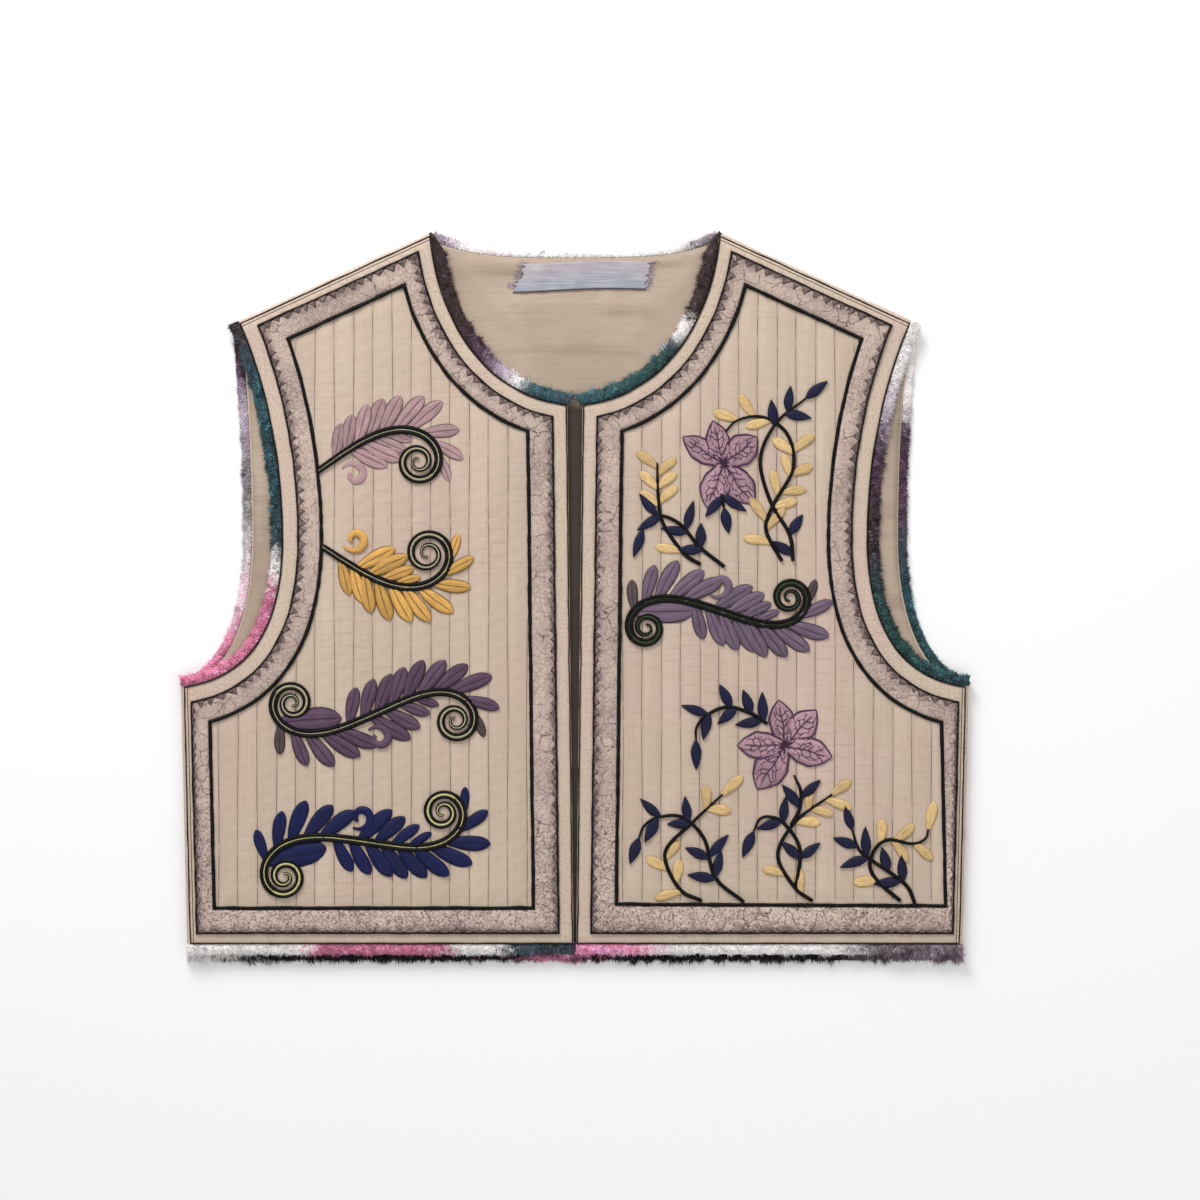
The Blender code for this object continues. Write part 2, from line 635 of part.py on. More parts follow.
def quilt_lines(drawing, field, leaves, stems):
    """The quilting's seams and the crests between them, left out where embroidery covers them."""
    low, high = field.min(0), field.max(0)
    first = math.ceil((low[0] - FIRST_CHANNEL) / (CHANNEL / 2))
    last = math.floor((high[0] - FIRST_CHANNEL) / (CHANNEL / 2))
    loop = np.vstack([field, field[:1]])
    for k in range(first, last + 1):
        x = FIRST_CHANNEL + k * CHANNEL / 2
        meets = []
        for a, b in zip(loop[:-1], loop[1:]):
            if (a[0] > x) != (b[0] > x):
                meets.append(a[1] + (b[1] - a[1]) * (x - a[0]) / (b[0] - a[0]))
        meets.sort()
        for bottom, top in zip(meets[::2], meets[1::2]):
            if top - bottom < 4 * PUFF_EDGE:
                continue
            count = max(2, round((top - bottom) / QUILT_ROW))
            rows = np.linspace(bottom + PUFF_EDGE, top - PUFF_EDGE, count)
            points = np.stack([np.full(len(rows), x), rows], axis=1)
            split_at_relief(drawing, points, leaves, stems)


def split_at_relief(drawing, points, leaves, stems):
    """Adds a seam as runs of points that keep clear of the embroidery."""
    fine = resampled(points, SEAM_STEPS * (len(points) - 1))
    clear = np.ones(len(fine), bool)
    for leaf in leaves:
        u, v = leaf_frame(leaf, fine)
        margin = CLEAR_OF_RELIEF / leaf.length
        clear &= ~((u > -margin) & (u < 1 + margin) & (np.abs(v) < leaf.width / 2 + CLEAR_OF_RELIEF))
    for stem in stems:
        clear &= distance_to(fine, stem.points) > max(stem.widths) + CLEAR_OF_RELIEF
    run = []
    for k, point in enumerate(fine):
        if clear[k]:
            run.append(k)
        if run and (not clear[k] or k == len(fine) - 1):
            kept = [j for j in run if j % SEAM_STEPS == 0 or j in (run[0], run[-1])]
            if len(kept) > 1:
                drawing.add(fine[kept])
            run = []


def object_from(name, cloth, vertices, faces):
    """One closed body with its faces pointing out, in its own plain material."""
    mesh = bpy.data.meshes.new(name)
    mesh.from_pydata([tuple(v) for v in vertices], [], [tuple(f) for f in faces])
    shape = bmesh.new()
    shape.from_mesh(mesh)
    bmesh.ops.recalc_face_normals(shape, faces=shape.faces)
    bmesh.ops.triangulate(shape, faces=shape.faces)
    shape.to_mesh(mesh)
    shape.free()
    mesh.materials.append(bpy.data.materials[cloth])
    made = bpy.data.objects.new(name, mesh)
    bpy.context.scene.collection.objects.link(made)
    return made


def ring_wall(rings):
    """Vertices and faces of a tube whose sections are the columns of closed rings of one length."""
    count = len(rings[0])
    vertices = np.vstack(rings)
    faces = []
    for r in range(len(rings)):
        s = (r + 1) % len(rings)
        for k in range(count):
            j = (k + 1) % count
            faces.append((r * count + k, r * count + j, s * count + j, s * count + k))
    return vertices, faces


def strip_solid(sections):
    """Vertices and faces of a bar through open sections of one length, closed at both ends."""
    size = len(sections[0])
    vertices = np.vstack(sections)
    faces = [tuple(range(size)), tuple(range(len(vertices) - size, len(vertices)))]
    for r in range(len(sections) - 1):
        for k in range(size):
            j = (k + 1) % size
            faces.append((r * size + k, r * size + j, (r + 1) * size + j, (r + 1) * size + k))
    return vertices, faces


def with_height(points, height):
    return np.column_stack([points, np.broadcast_to(height, len(points))])


def flip(vertices, side):
    """The half drawn at x >= 0, or its mirror image."""
    return np.array(vertices) * (side, 1, 1)


# Pieces


def front_cut():
    """A front's edges as cut, just clear of the seams where the back meets them."""
    seams = {name: GAP if name in ("side", "shoulder") else 0.0 for name in BORDERS}
    return offset_loop(front_edges(), seams)


def border_ring(cut, side, across, band=False):
    """A closed ring of the border: a distance inside the strip of plain cloth, or inside the band."""
    places = {}
    for name, row in BORDERS.items():
        width = row.band
        if side > 0 and name in LEFT_BAND:
            width = width + np.linspace(*LEFT_BAND[name], len(cut[name]))[:, None]
        places[name] = row.strip + across + (width if band else 0.0)
    return ring(offset_loop(cut, places))


def band_rings(cut, side):
    """The outer and the inner edge of the border band, each just clear of its cord."""
    outer = border_ring(cut, side, OUTER_CORD / 2 + GAP)
    return outer, border_ring(cut, side, -INNER_CORD / 2 - GAP, band=True)


def front_face(front, side):
    """The upper face of a front, drawn in the half x >= 0, with quilting and embroidery raised."""
    cut = front_cut()
    leaves, stems = embroidery(front)
    leaves = [leaf_on_half(leaf, side) for leaf in leaves]
    stems = [stem._replace(points=stem.points * (side, 1)) for stem in stems]
    rounding = {name: SEAM_ROUND if name in ("side", "shoulder") else EDGE_ROUND for name in BORDERS}
    rim = ring(offset_loop(cut, rounding))
    field = border_ring(cut, side, QUILT_START, band=True)

    drawing = Drawing()
    for loop in (rim, *band_rings(cut, side), field):
        drawing.add(loop, closed=True)
    for leaf in leaves:
        drawing.add(leaf_outline(leaf), closed=True)
        drawing.add(leaf_rib(leaf))
    for stem in stems:
        sideways = left_normals(stem.points) * np.array(stem.widths)[:, None]
        drawing.add(stem.points)
        for share in (1.0, DOUBLE_STEM[1][0]) if stem.doubled else (1.0,):
            offset = share * sideways
            drawing.add(np.vstack([stem.points + offset, (stem.points - offset)[::-1]]), closed=True)
    quilt_lines(drawing, field, leaves, stems)
    points, faces = drawing.triangulated()
    edge = distance_to(points, np.vstack([field, field[:1]]))
    kept = np.clip(edge / RELIEF_EDGE, 0, 1) * inside(points, field)
    raised = np.maximum(puff(points, field), relief(points, leaves, stems) * kept)
    return Face(with_height(points, front_top(points) + raised), faces, rim)


def leaf_on_half(leaf, side):
    """The leaf as drawn in the half x >= 0."""
    angle = leaf.angle if side > 0 else math.pi - leaf.angle
    return leaf._replace(base=np.array(leaf.base) * (side, 1), angle=angle)


def height_on(face, points):
    """The height of a triangulated face at each point of the plane."""
    corners = face.vertices[np.array(face.triangles)]
    a, b, c = corners[:, 0], corners[:, 1], corners[:, 2]
    area = (b[:, 0] - a[:, 0]) * (c[:, 1] - a[:, 1]) - (b[:, 1] - a[:, 1]) * (c[:, 0] - a[:, 0])
    heights = []
    for x, y in points:
        v = ((x - a[:, 0]) * (c[:, 1] - a[:, 1]) - (y - a[:, 1]) * (c[:, 0] - a[:, 0])) / area
        w = ((b[:, 0] - a[:, 0]) * (y - a[:, 1]) - (b[:, 1] - a[:, 1]) * (x - a[:, 0])) / area
        best = int(np.argmax(np.minimum(np.minimum(v, w), 1 - v - w)))
        heights.append(a[best, 2] * (1 - v[best] - w[best]) + b[best, 2] * v[best] + c[best, 2] * w[best])
    return np.array(heights)


def nearest(vertices, points):
    return [int(np.argmin(np.linalg.norm(vertices[:, :2] - p, axis=1))) for p in points]


def open_edges(triangles):
    """The edges that only one of the triangles has."""
    edges = {(t[k], t[(k + 1) % 3]) for t in triangles for k in range(3)}
    return [(a, b) for a, b in edges if (b, a) not in edges]


def make_front(front, side, face):
    """A quilted wall under its upper face: plain below, with a rounded edge."""
    cut = front_cut()
    edge = ring(cut)
    low = Drawing()
    low.add(edge, closed=True)
    low.add(border_ring(cut, side, 0.0, band=True), closed=True)
    low_points, low_triangles = low.triangulated()
    lower = with_height(low_points, FRONT_LOW + front_lift(low_points))
    middle = with_height(edge, FRONT_LOW + front_lift(edge) + EDGE_SHARE * FRONT_WALL)
    first_low = len(face.vertices)
    first_middle = first_low + len(lower)
    faces = list(face.triangles) + [tuple(first_low + k for k in f) for f in low_triangles]
    high_rim = nearest(face.vertices, face.rim)
    low_rim = [first_low + k for k in nearest(lower, edge)]
    count = len(edge)
    for k in range(count):
        j = (k + 1) % count
        faces.append((low_rim[k], low_rim[j], first_middle + j, first_middle + k))
        faces.append((first_middle + k, first_middle + j, high_rim[j], high_rim[k]))
    vertices = np.vstack([face.vertices, lower, middle])
    return object_from(f"front_{front}", "quilted_cloth", flip(vertices, side), faces)


def make_band(front, side, face):
    """The border band: the face's own triangles between the two cords, moved out into a strip."""
    outside, within = band_rings(front_cut(), side)
    kept = []
    for triangle in face.triangles:
        middle = face.vertices[list(triangle), :2].mean(0)
        if inside(middle, outside)[0] and not inside(middle, within)[0]:
            kept.append(triangle)
    used = sorted({k for triangle in kept for k in triangle})
    place = {k: n for n, k in enumerate(used)}
    count = len(used)
    lower = face.vertices[used] + (0, 0, GAP)
    flat = [tuple(place[k] for k in triangle) for triangle in kept]
    faces = flat + [tuple(count + k for k in triangle) for triangle in flat]
    faces += [(a, b, count + b, count + a) for a, b in open_edges(flat)]
    vertices = np.vstack([lower, lower + (0, 0, BAND_WALL)])
    return object_from(f"border_band_{front}", "border_band", flip(vertices, side), faces)


def make_border_cord(name, front, side, face, width, band):
    """A sewn cord, flat below and rounded above, along the outer or the inner edge of the band."""
    rings = []
    for across, high in CORD_PROFILE:
        loop = border_ring(front_cut(), side, across * width, band)
        rings.append(with_height(loop, height_on(face, loop) + GAP + high * CORD_HIGH))
    vertices, faces = ring_wall(rings)
    return object_from(f"{name}_{front}", "black_cord", flip(vertices, side), faces)


def make_back():
    """The back: a flat wall that turns up round the sides and shoulders to meet the fronts."""
    edges = back_edges()
    outline = Drawing()
    loop = ring(edges)
    outline.add(loop, closed=True)
    points, triangles = outline.triangulated()
    count = len(points)
    vertices = [tuple(p) + (0.0,) for p in points] + [tuple(p) + (BACK_WALL,) for p in points]
    faces = [tuple(f) for f in triangles] + [tuple(count + k for k in f) for f in triangles]
    corner = {}
    for name, line_points in edges.items():
        corner[name] = [int(np.argmin(np.linalg.norm(points - p, axis=1))) for p in line_points]
    for name, indices in corner.items():
        if name.startswith(("side", "shoulder")):
            faces += fold(vertices, edges[name], indices, count)
        else:
            for a, b in zip(indices[:-1], indices[1:]):
                faces.append((a, b, count + b, count + a))
    return object_from("back", "quilted_cloth", vertices, faces)


def fold(vertices, edge, low, count):
    """Adds the half turn of the wall along one edge, and returns its faces."""
    outward = -left_normals(edge)
    angles = [math.pi * k / FOLD_STEPS for k in range(1, FOLD_STEPS + 1)]
    inner_radius = FOLD_RADIUS - BACK_WALL
    turns = [(FOLD_RADIUS, a) for a in angles] + [(inner_radius, a) for a in reversed(angles)]
    sections = []
    for k, index in enumerate(low):
        section = [index]
        for radius, turn in turns:
            place = edge[k] + outward[k] * radius * math.sin(turn)
            section.append(len(vertices))
            vertices.append((place[0], place[1], FOLD_RADIUS - radius * math.cos(turn)))
        section.append(count + index)
        sections.append(section)
    faces = [tuple(sections[0]), tuple(sections[-1])]
    for before, after in zip(sections[:-1], sections[1:]):
        for k in range(len(before) - 1):
            faces.append((before[k], before[k + 1], after[k + 1], after[k]))
    return faces


def make_lining():
    """The back's lining, which shows through the neck and the armholes."""
    tucked = {}
    for name in back_edges():
        tucked[name] = LINING_TUCK if name.startswith(("side", "shoulder")) else LINING_INSET
    loop = ring(offset_loop(back_edges(), tucked))
    outline = Drawing()
    outline.add(loop, closed=True)
    points, triangles = outline.triangulated()
    count = len(points)
    vertices = np.vstack([with_height(points, LINING_LOW), with_height(points, LINING_LOW + LINING_WALL)])
    faces = [tuple(f) for f in triangles] + [tuple(count + k for k in f) for f in triangles]
    rim = [int(np.argmin(np.linalg.norm(points - p, axis=1))) for p in loop]
    for a, b in zip(rim, rim[1:] + rim[:1]):
        faces.append((a, b, count + b, count + a))
    return object_from("back_lining", "lining_cloth", vertices, faces)


def make_label():
    """A plain tape with ravelled ends, sewn on the lining at the back of the neck."""
    half = np.array(LABEL_SIZE) / 2
    rows = np.linspace(-half[1], half[1], LABEL_TEETH)
    right = [(half[0] - LABEL_TOOTH * (k % 2), y) for k, y in enumerate(rows)]
    left = [(-half[0] + LABEL_TOOTH * (k % 2), y) for k, y in enumerate(reversed(rows))]
    outline = np.array(right + left) + LABEL_CENTRE
    base = LINING_LOW + LINING_WALL + GAP
    sections = [with_height(outline, base), with_height(outline, base + LABEL_WALL)]
    vertices, faces = strip_solid(sections)
    return object_from("neck_label", "label_tape", vertices, faces)


def make_pile(name, edge, reach, side, before=None, after=None):
    """A rounded strip of pile along an edge, on its outer side. Before its start or after its end
    it may run on across the end of the fold there, a named edge of the back."""
    on_back = "back" in name
    seams = back_edges()
    path = edge
    if before:
        path = np.vstack([path[0] - left_normals(seams[before])[0] * FOLD_RADIUS, path])
    if after:
        path = np.vstack([path, path[-1] - left_normals(seams[after])[0] * FOLD_RADIUS])
    low = GAP if on_back else FRONT_LOW
    tall = PILE_BACK_HIGH if on_back else PILE_HIGH
    lift = np.zeros(len(path)) if on_back else front_lift(path)
    outward = -left_normals(path)
    sections = []
    for k, point in enumerate(path):
        section = []
        for across, high in PILE_PROFILE:
            place = point + outward[k] * (GAP + across * (reach - GAP))
            section.append((place[0], place[1], low + lift[k] + high * tall))
        sections.append(np.array(section))
    vertices, faces = strip_solid(sections)
    return object_from(name, "yarn_pile", flip(vertices, side), faces)


def make_materials():
    for name, (colour, roughness) in CLOTHS.items():
        cloth = bpy.data.materials.new(name)
        cloth.use_nodes = True
        cloth.diffuse_color = (*colour, 1.0)
        surface = cloth.node_tree.nodes["Principled BSDF"]
        surface.inputs["Base Color"].default_value = (*colour, 1.0)
        surface.inputs["Roughness"].default_value = roughness
        surface.inputs["Metallic"].default_value = 0.0


def stand_on_origin(pieces):
    """Moves every piece so that the origin is the middle of the garment's box, on the table."""
    corners = np.array([vertex.co for piece in pieces for vertex in piece.data.vertices])
    middle = (corners.min(0) + corners.max(0)) / 2
    for piece in pieces:
        piece.location = (-middle[0], -middle[1], -corners.min(0)[2])


def main():
    for old in list(bpy.data.objects):
        bpy.data.objects.remove(old)
    make_materials()
    pieces = [make_back(), make_lining(), make_label()]
    for front, side in (("right", -1), ("left", 1)):
        cut = front_cut()
        face = front_face(front, side)
        pieces.append(make_front(front, side, face))
        pieces.append(make_band(front, side, face))
        pieces.append(make_border_cord("border_cord_outer", front, side, face, OUTER_CORD, band=False))
        pieces.append(make_border_cord("border_cord_inner", front, side, face, INNER_CORD, band=True))
        armhole = back_edges()["armhole_left"]
        folds = {"before": "side_left", "after": "shoulder_left"}
        pieces.append(make_pile(f"neck_pile_{front}", cut["neck"], PILE_FRONT, side, before="shoulder_left"))
        pieces.append(make_pile(f"armhole_pile_{front}", cut["armhole"], PILE_FRONT, side, **folds))
        pieces.append(make_pile(f"hem_pile_{front}", cut["hem"], PILE_HEM, side, after="side_left"))
        pieces.append(make_pile(f"armhole_pile_back_{front}", armhole, PILE_BACK, side, **folds))
    pieces.append(make_pile("neck_pile_back", back_edges()["neck"], PILE_BACK, 1))
    pieces.append(make_pile("hem_pile_back", back_edges()["hem"], PILE_BACK_HEM, 1,
                            before="side_right", after="side_left"))
    stand_on_origin(pieces)


main()
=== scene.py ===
"""Embroidered waistcoat laid out flat: the sewn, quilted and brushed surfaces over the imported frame.

Metres, +Z up, hem towards -Y. The cut is drawn as a maker's pattern with the hem at y = 0 and the
centre front at x = 0, and is laid on the frame by the front's own lower edge. Each front is a quilted
sheet, with a border band between sewn cords, a row of cut points along the band, and embroidery of
padded lobes, leaves and petals with couched stems. Brushed yarn edges the neck, armholes and hem.
"""

import math
from collections import namedtuple

import bpy
import numpy as np
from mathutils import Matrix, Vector
from mathutils.geometry import delaunay_2d_cdt


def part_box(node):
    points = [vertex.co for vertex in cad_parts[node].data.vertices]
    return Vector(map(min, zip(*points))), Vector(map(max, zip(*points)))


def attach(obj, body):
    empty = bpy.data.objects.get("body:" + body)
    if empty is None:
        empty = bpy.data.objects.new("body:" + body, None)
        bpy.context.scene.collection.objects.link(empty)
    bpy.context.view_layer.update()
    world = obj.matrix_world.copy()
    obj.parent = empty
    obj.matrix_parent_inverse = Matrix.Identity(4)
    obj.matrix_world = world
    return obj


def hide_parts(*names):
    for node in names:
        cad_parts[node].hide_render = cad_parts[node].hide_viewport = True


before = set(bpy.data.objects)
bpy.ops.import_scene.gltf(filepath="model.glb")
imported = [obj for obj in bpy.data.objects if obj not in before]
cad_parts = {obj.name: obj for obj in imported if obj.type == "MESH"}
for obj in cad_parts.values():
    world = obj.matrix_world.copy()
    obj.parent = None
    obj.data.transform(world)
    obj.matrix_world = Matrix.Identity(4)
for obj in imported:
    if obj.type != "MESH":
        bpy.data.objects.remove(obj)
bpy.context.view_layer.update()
HEM_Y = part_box("front_left")[0][1]

# The spacing of points along an edge, and how far an edge runs on to meet its neighbours
SOFT_STEP = 0.0028
SPARE = 0.03

# Cut of one half, from the centre front (x = 0) outwards
HEM_FRONT = (0.0008, 0.0)
NECK_FRONT = (0.0048, 0.344)
NECK_POINT = (0.0920, 0.4498)
SHOULDER_TIP = (0.2130, 0.3940)
ARMHOLE_FRONT = (0.1870, 0.2580)
ARMHOLE_BACK = (0.2065, 0.2580)
UNDERARM = (0.2475, 0.1645)
SIDE_HEM = (0.2435, 0.0)
BACK_NECK = (0.0, 0.4380)

# Walls, from the table upwards
BACK_WALL = 0.0026
LINING_WALL = 0.0010
FRONT_WALL = 0.0026
GAP = 0.0003
LINING_LOW = BACK_WALL + GAP
FRONT_LOW = LINING_LOW + LINING_WALL + GAP
FOLD_RADIUS = 0.0042
FOLD_LIFT = 2 * FOLD_RADIUS - FRONT_WALL - FRONT_LOW
FOLD_REACH = 0.018
FOLD_STEPS = 14
CLOTH_GRID = 0.0035

# Border band and its cords, measured in from the edge: strip of plain cloth, then band
Border = namedtuple("Border", "strip band")
BORDERS = {
    "hem": Border(0.0070, 0.0160),
    "side": Border(0.0024, 0.0115),
    "armhole": Border(0.0105, 0.0148),
    "shoulder": Border(0.0040, 0.0156),
    "neck": Border(0.0090, 0.0130),
    "front": Border(0.0095, 0.0160),
}
# The left front's band is sewn unevenly: its change of width at the start and the end of an edge
LEFT_BAND = {"hem": (0.0026, 0.0014), "side": (-0.0075, 0.0)}
BAND_WALL = 0.0010
OUTER_CORD = 0.0015
INNER_CORD = 0.0023
EDGE_CORD = 0.0009
CORD_HIGH = 0.0016
CORD_SIDES = 8
QUILT_START = 0.0019

# Quilting
CHANNEL = 0.0123
FIRST_CHANNEL = 0.0060
PUFF = 0.0009
PUFF_EDGE = 0.0060

# Embroidery
PLUME_STEM = 0.0028
THINNEST_STEM = 0.0009
SMALL_LOBE = 0.78
STEM_TO_RADIUS = 0.30
SPIRAL_TURNS = 1.78
SPIRAL_CENTRE = 0.0011
TURN_STEPS = 48
MIDDLE_STEPS = 48
SWAY = 0.56
LOBE_LENGTH = 0.0275
LOBE_WIDTH = 0.0100
BIG_LOBE = (0.0390, 0.0155)
HOOK_RADIUS = 0.0072
HOOK_STEM = 0.0026
HOOK_AWAY = 0.0078
HOOK_STEPS = 24
HOOK_TURN = 0.30
VINE_STEM = 0.0012
NAVY_LEAF = (0.0180, 0.0068)
GOLD_LEAF = (0.0165, 0.0070)
VINE_SPREAD = math.radians(45)
NAVY_OVER_GOLD = 0.0006
# Heights of the padding, and the steps by which leaves that cross lie on each other
BOLD_LOBE_HIGH = 0.0019
SOFT_LOBE_HIGH = 0.0007
LEAF_HIGH = 0.0015
PETAL_HIGH = 0.0013
LOBE_LEVEL = 0.00022
LEAF_LEVEL = 0.00015
LOBE_BEND = 0.06

# Pile edging: reach on a front and on the back, and at the hem of each
PILE_FRONT = 0.0080
PILE_BACK = 0.0065
PILE_HEM = 0.0079
PILE_BACK_HEM = 0.0125
PILE_HIGH = 0.0042
PILE_BACK_HIGH = LINING_LOW + LINING_WALL - GAP
TUFTS_PER_MM2 = 3.0
LOCK = 0.0028

# Neck label
LABEL_CENTRE = (0.0058, 0.4262)
LABEL_SIZE = (0.0820, 0.0180)
LABEL_GRID = (72, 15)
LABEL_THREADS = 46

# Setting: the lamps' places, sizes and powers. The photograph is 1200 x 1200 pixels, at 0.64 mm each
# on the garment
SKY = 0.60
LAMPS = (("key", (-0.45, 1.35, 0.95), 0.8, 24.0), ("fill", (0.9, -0.35, 1.6), 1.6, 6.0))
CAMERA_HEIGHT = 2.4
FRAME_WIDTH = 1200 * 0.00064
PHOTO_CENTRE = (0.0160, 0.2195)

# Plumes: the centres of the end spirals, or the root and the centre of the one spiral, and which way
# that one turns. The middle stretch and the spirals' radius are shares of the way between the two
Plume = namedtuple("Plume", "front start end turn two_ended middle radius hook colour core")
PLUMES = (
    Plume("right", (-0.1639, 0.3018), (-0.0994, 0.3070), -1, False, 1.48, 0.174, 0.13, "rose", "cream"),
    Plume("right", (-0.1610, 0.2535), (-0.0934, 0.2500), 1, False, 1.33, 0.160, 0.10, "gold", "cream"),
    Plume("right", (-0.1810, 0.1545), (-0.0755, 0.1420), -1, True, 1.56, 0.110, 0.46, "violet", "cream"),
    Plume("right", (-0.1856, 0.0422), (-0.0838, 0.0851), 1, True, 1.84, 0.124, 0.46, "navy", "straw"),
    Plume("left", (0.0450, 0.2012), (0.1376, 0.2214), 1, True, 1.56, 0.110, 0.45, "mauve", "moss"),
)

# Lobes along a plume's middle stretch: the row's first and last share of it, how many lobes, their
# spread from the stem in degrees, and their size. The outer row runs on round the end spiral
LobeRow = namedtuple("LobeRow", "outer first last count spread sizes")
TWO_ENDED_ROWS = (
    LobeRow(True, 0.40, 0.93, 10, (62, 50, 47, 36, 6), (0.88, 0.98, 1.00, 1.06, 0.66)),
    LobeRow(False, 0.12, 0.35, 5, (44, 54, 42), (0.76, 1.00, 1.02)),
    LobeRow(False, 0.49, 0.67, 4, (56, 52, 40), (1.05, 0.95, 0.78, 0.62)),
)
ONE_ENDED_ROWS = (
    LobeRow(True, 0.13, 0.87, 10, (50, 52, 46, 10), (0.84, 1.00, 1.02, 0.70)),
    LobeRow(False, 0.24, 0.48, 4, (62, 52, 36), (0.98, 1.00, 0.85, 0.66)),
)
BIG_LOBE_AT = 0.12
BIG_LOBE_AIM = 0.26
BIG_LOBE_TURN = 0.20

# Vines of the left front, from root to tip. The leaves' places are shares of the stem's length,
# minus on its right side, and 1 at its tip
Vine = namedtuple("Vine", "points gold navy")
VINES = (
    Vine(((0.0801, 0.2422), (0.0693, 0.2494), (0.0561, 0.2687), (0.0532, 0.2850), (0.0525, 0.3070)),
         (0.20, 0.64, 0.78, 0.96, -0.66, -0.79, -0.90), ()),
    Vine(((0.0954, 0.2407), (0.0795, 0.2534), (0.0673, 0.2677), (0.0540, 0.2736), (0.0462, 0.2702),
          (0.0436, 0.2645)),
         (), (0.25, 0.46, 0.76, -0.28, -0.49, -0.80, 1.0)),
    Vine(((0.1321, 0.2443), (0.1219, 0.2640), (0.1265, 0.2800), (0.1392, 0.3034), (0.1357, 0.3249),
          (0.1204, 0.3361), (0.1040, 0.3343), (0.0962, 0.3270)),
         (0.10, 0.21, 0.34, 0.45, 0.56, 0.76, -0.17, -0.28, -0.36, -0.46, -0.57, -0.84, -0.92), ()),
    Vine(((0.1392, 0.2443), (0.1367, 0.2616), (0.1244, 0.2830), (0.1183, 0.3096), (0.1285, 0.3325),
          (0.1469, 0.3478)),
         (), (0.03, 0.78, 0.88, -0.14, -0.86, 1.0)),
    Vine(((0.0938, 0.2870), (0.0942, 0.2830), (0.0950, 0.2785)), (), (0.1, -0.1, 1.0)),
    Vine(((0.1229, 0.1405), (0.1118, 0.1474), (0.0970, 0.1512), (0.0840, 0.1460), (0.0776, 0.1382),
          (0.0772, 0.1306)),
         (), (0.06, 0.36, 0.66, -0.04, -0.20, -0.42, -0.68, 1.0)),
    Vine(((0.1078, 0.0268), (0.0895, 0.0425), (0.0824, 0.0673), (0.0680, 0.0811), (0.0520, 0.0805),
          (0.0440, 0.0752), (0.0410, 0.0680)),
         (), (0.22, 0.35, 0.60, 0.82, -0.23, -0.36, -0.62, -0.80, 1.0)),
    Vine(((0.0810, 0.0275), (0.0667, 0.0353), (0.0575, 0.0582), (0.0745, 0.0771), (0.0941, 0.0954)),
         (0.15, 0.33, 0.85, -0.22, -0.40, -0.86, 1.0), ()),
    Vine(((0.1409, 0.0360), (0.1435, 0.0608), (0.1333, 0.0771), (0.1240, 0.0812), (0.1178, 0.0796),
          (0.1142, 0.0722)),
         (), (0.26, 0.66, -0.27, -0.64, 1.0)),
    Vine(((0.1516, 0.0275), (0.1405, 0.0360), (0.1294, 0.0569), (0.1411, 0.0784), (0.1640, 0.0955)),
         (0.27, 0.80, -0.10, -0.68, -0.82, -0.94, 1.0), ()),
    Vine(((0.1379, 0.0758), (0.1431, 0.0856), (0.1441, 0.0974), (0.1398, 0.1078)), (), (0.36, -0.55)),
    Vine(((0.2169, 0.0262), (0.2103, 0.0386), (0.1881, 0.0543), (0.1810, 0.0608), (0.1770, 0.0726)),
         (), (0.26, 0.66, 0.82, -0.24, -0.42, -0.68, 1.0)),
    Vine(((0.2077, 0.0275), (0.1934, 0.0399), (0.1881, 0.0504), (0.1926, 0.0622), (0.2007, 0.0666),
          (0.2150, 0.0640), (0.2234, 0.0671), (0.2254, 0.0732)),
         (0.22, 0.56, 0.68, -0.66, -0.83, 1.0), ()),
)

# Flowers: directions of the petals in degrees, with the length and width of each
Flower = namedtuple("Flower", "centre angles lengths widths")
FLOWERS = (
    Flower((0.0950, 0.3065), (150, 106, 38, -57, -110), (0.031, 0.028, 0.027, 0.032, 0.030),
           (0.0150, 0.0150, 0.0200, 0.0190, 0.0190)),
    Flower((0.1338, 0.1268), (179, 95, 47, -15, -121), (0.030, 0.029, 0.030, 0.031, 0.033),
           (0.0175, 0.0165, 0.0185, 0.0185, 0.0215)),
)

# Dyes, as they look in daylight
DYES = {
    "rose": (0.635, 0.515, 0.525),
    "gold": (0.77, 0.59, 0.31),
    "violet": (0.33, 0.24, 0.32),
    "navy": (0.008, 0.050, 0.260),
    "leaf_navy": (0.035, 0.055, 0.20),
    "leaf_gold": (0.79, 0.67, 0.47),
    "mauve": (0.40, 0.33, 0.40),
    "petal": (0.64, 0.51, 0.55),
    "cream": (0.64, 0.62, 0.50),
    "straw": (0.74, 0.72, 0.50),
    "moss": (0.20, 0.25, 0.16),
    "black": (0.030, 0.025, 0.025),
    "plum": (0.30, 0.18, 0.29),
    "dusk": (0.30, 0.25, 0.26),
    "outer_cord": (0.085, 0.060, 0.065),
    "pile_brown": (0.24, 0.185, 0.19),
    "pile_grey": (0.55, 0.52, 0.54),
    "pile_white": (1.0, 0.97, 0.96),
    "pile_pale": (0.82, 0.78, 0.78),
    "pile_lavender": (0.72, 0.66, 0.72),
    "pile_black": (0.10, 0.08, 0.10),
    "pile_pink": (1.0, 0.64, 0.78),
    "pile_rose": (0.80, 0.49, 0.60),
    "pile_ash": (0.50, 0.44, 0.48),
    "pile_pale_pink": (1.0, 0.84, 0.90),
    "pile_teal": (0.21, 0.33, 0.36),
    "pile_green": (0.17, 0.28, 0.26),
    "pile_slate": (0.26, 0.30, 0.34),
    "pile_plum": (0.34, 0.25, 0.32),
}


def as_light(values):
    """Colours as they look, turned into the light that a surface sends back."""
    values = np.array(values)
    return np.where(values <= 0.04045, values / 12.92, ((values + 0.055) / 1.055) ** 2.4)


def linear(dye):
    return as_light(DYES[dye])


# Curves in the plane


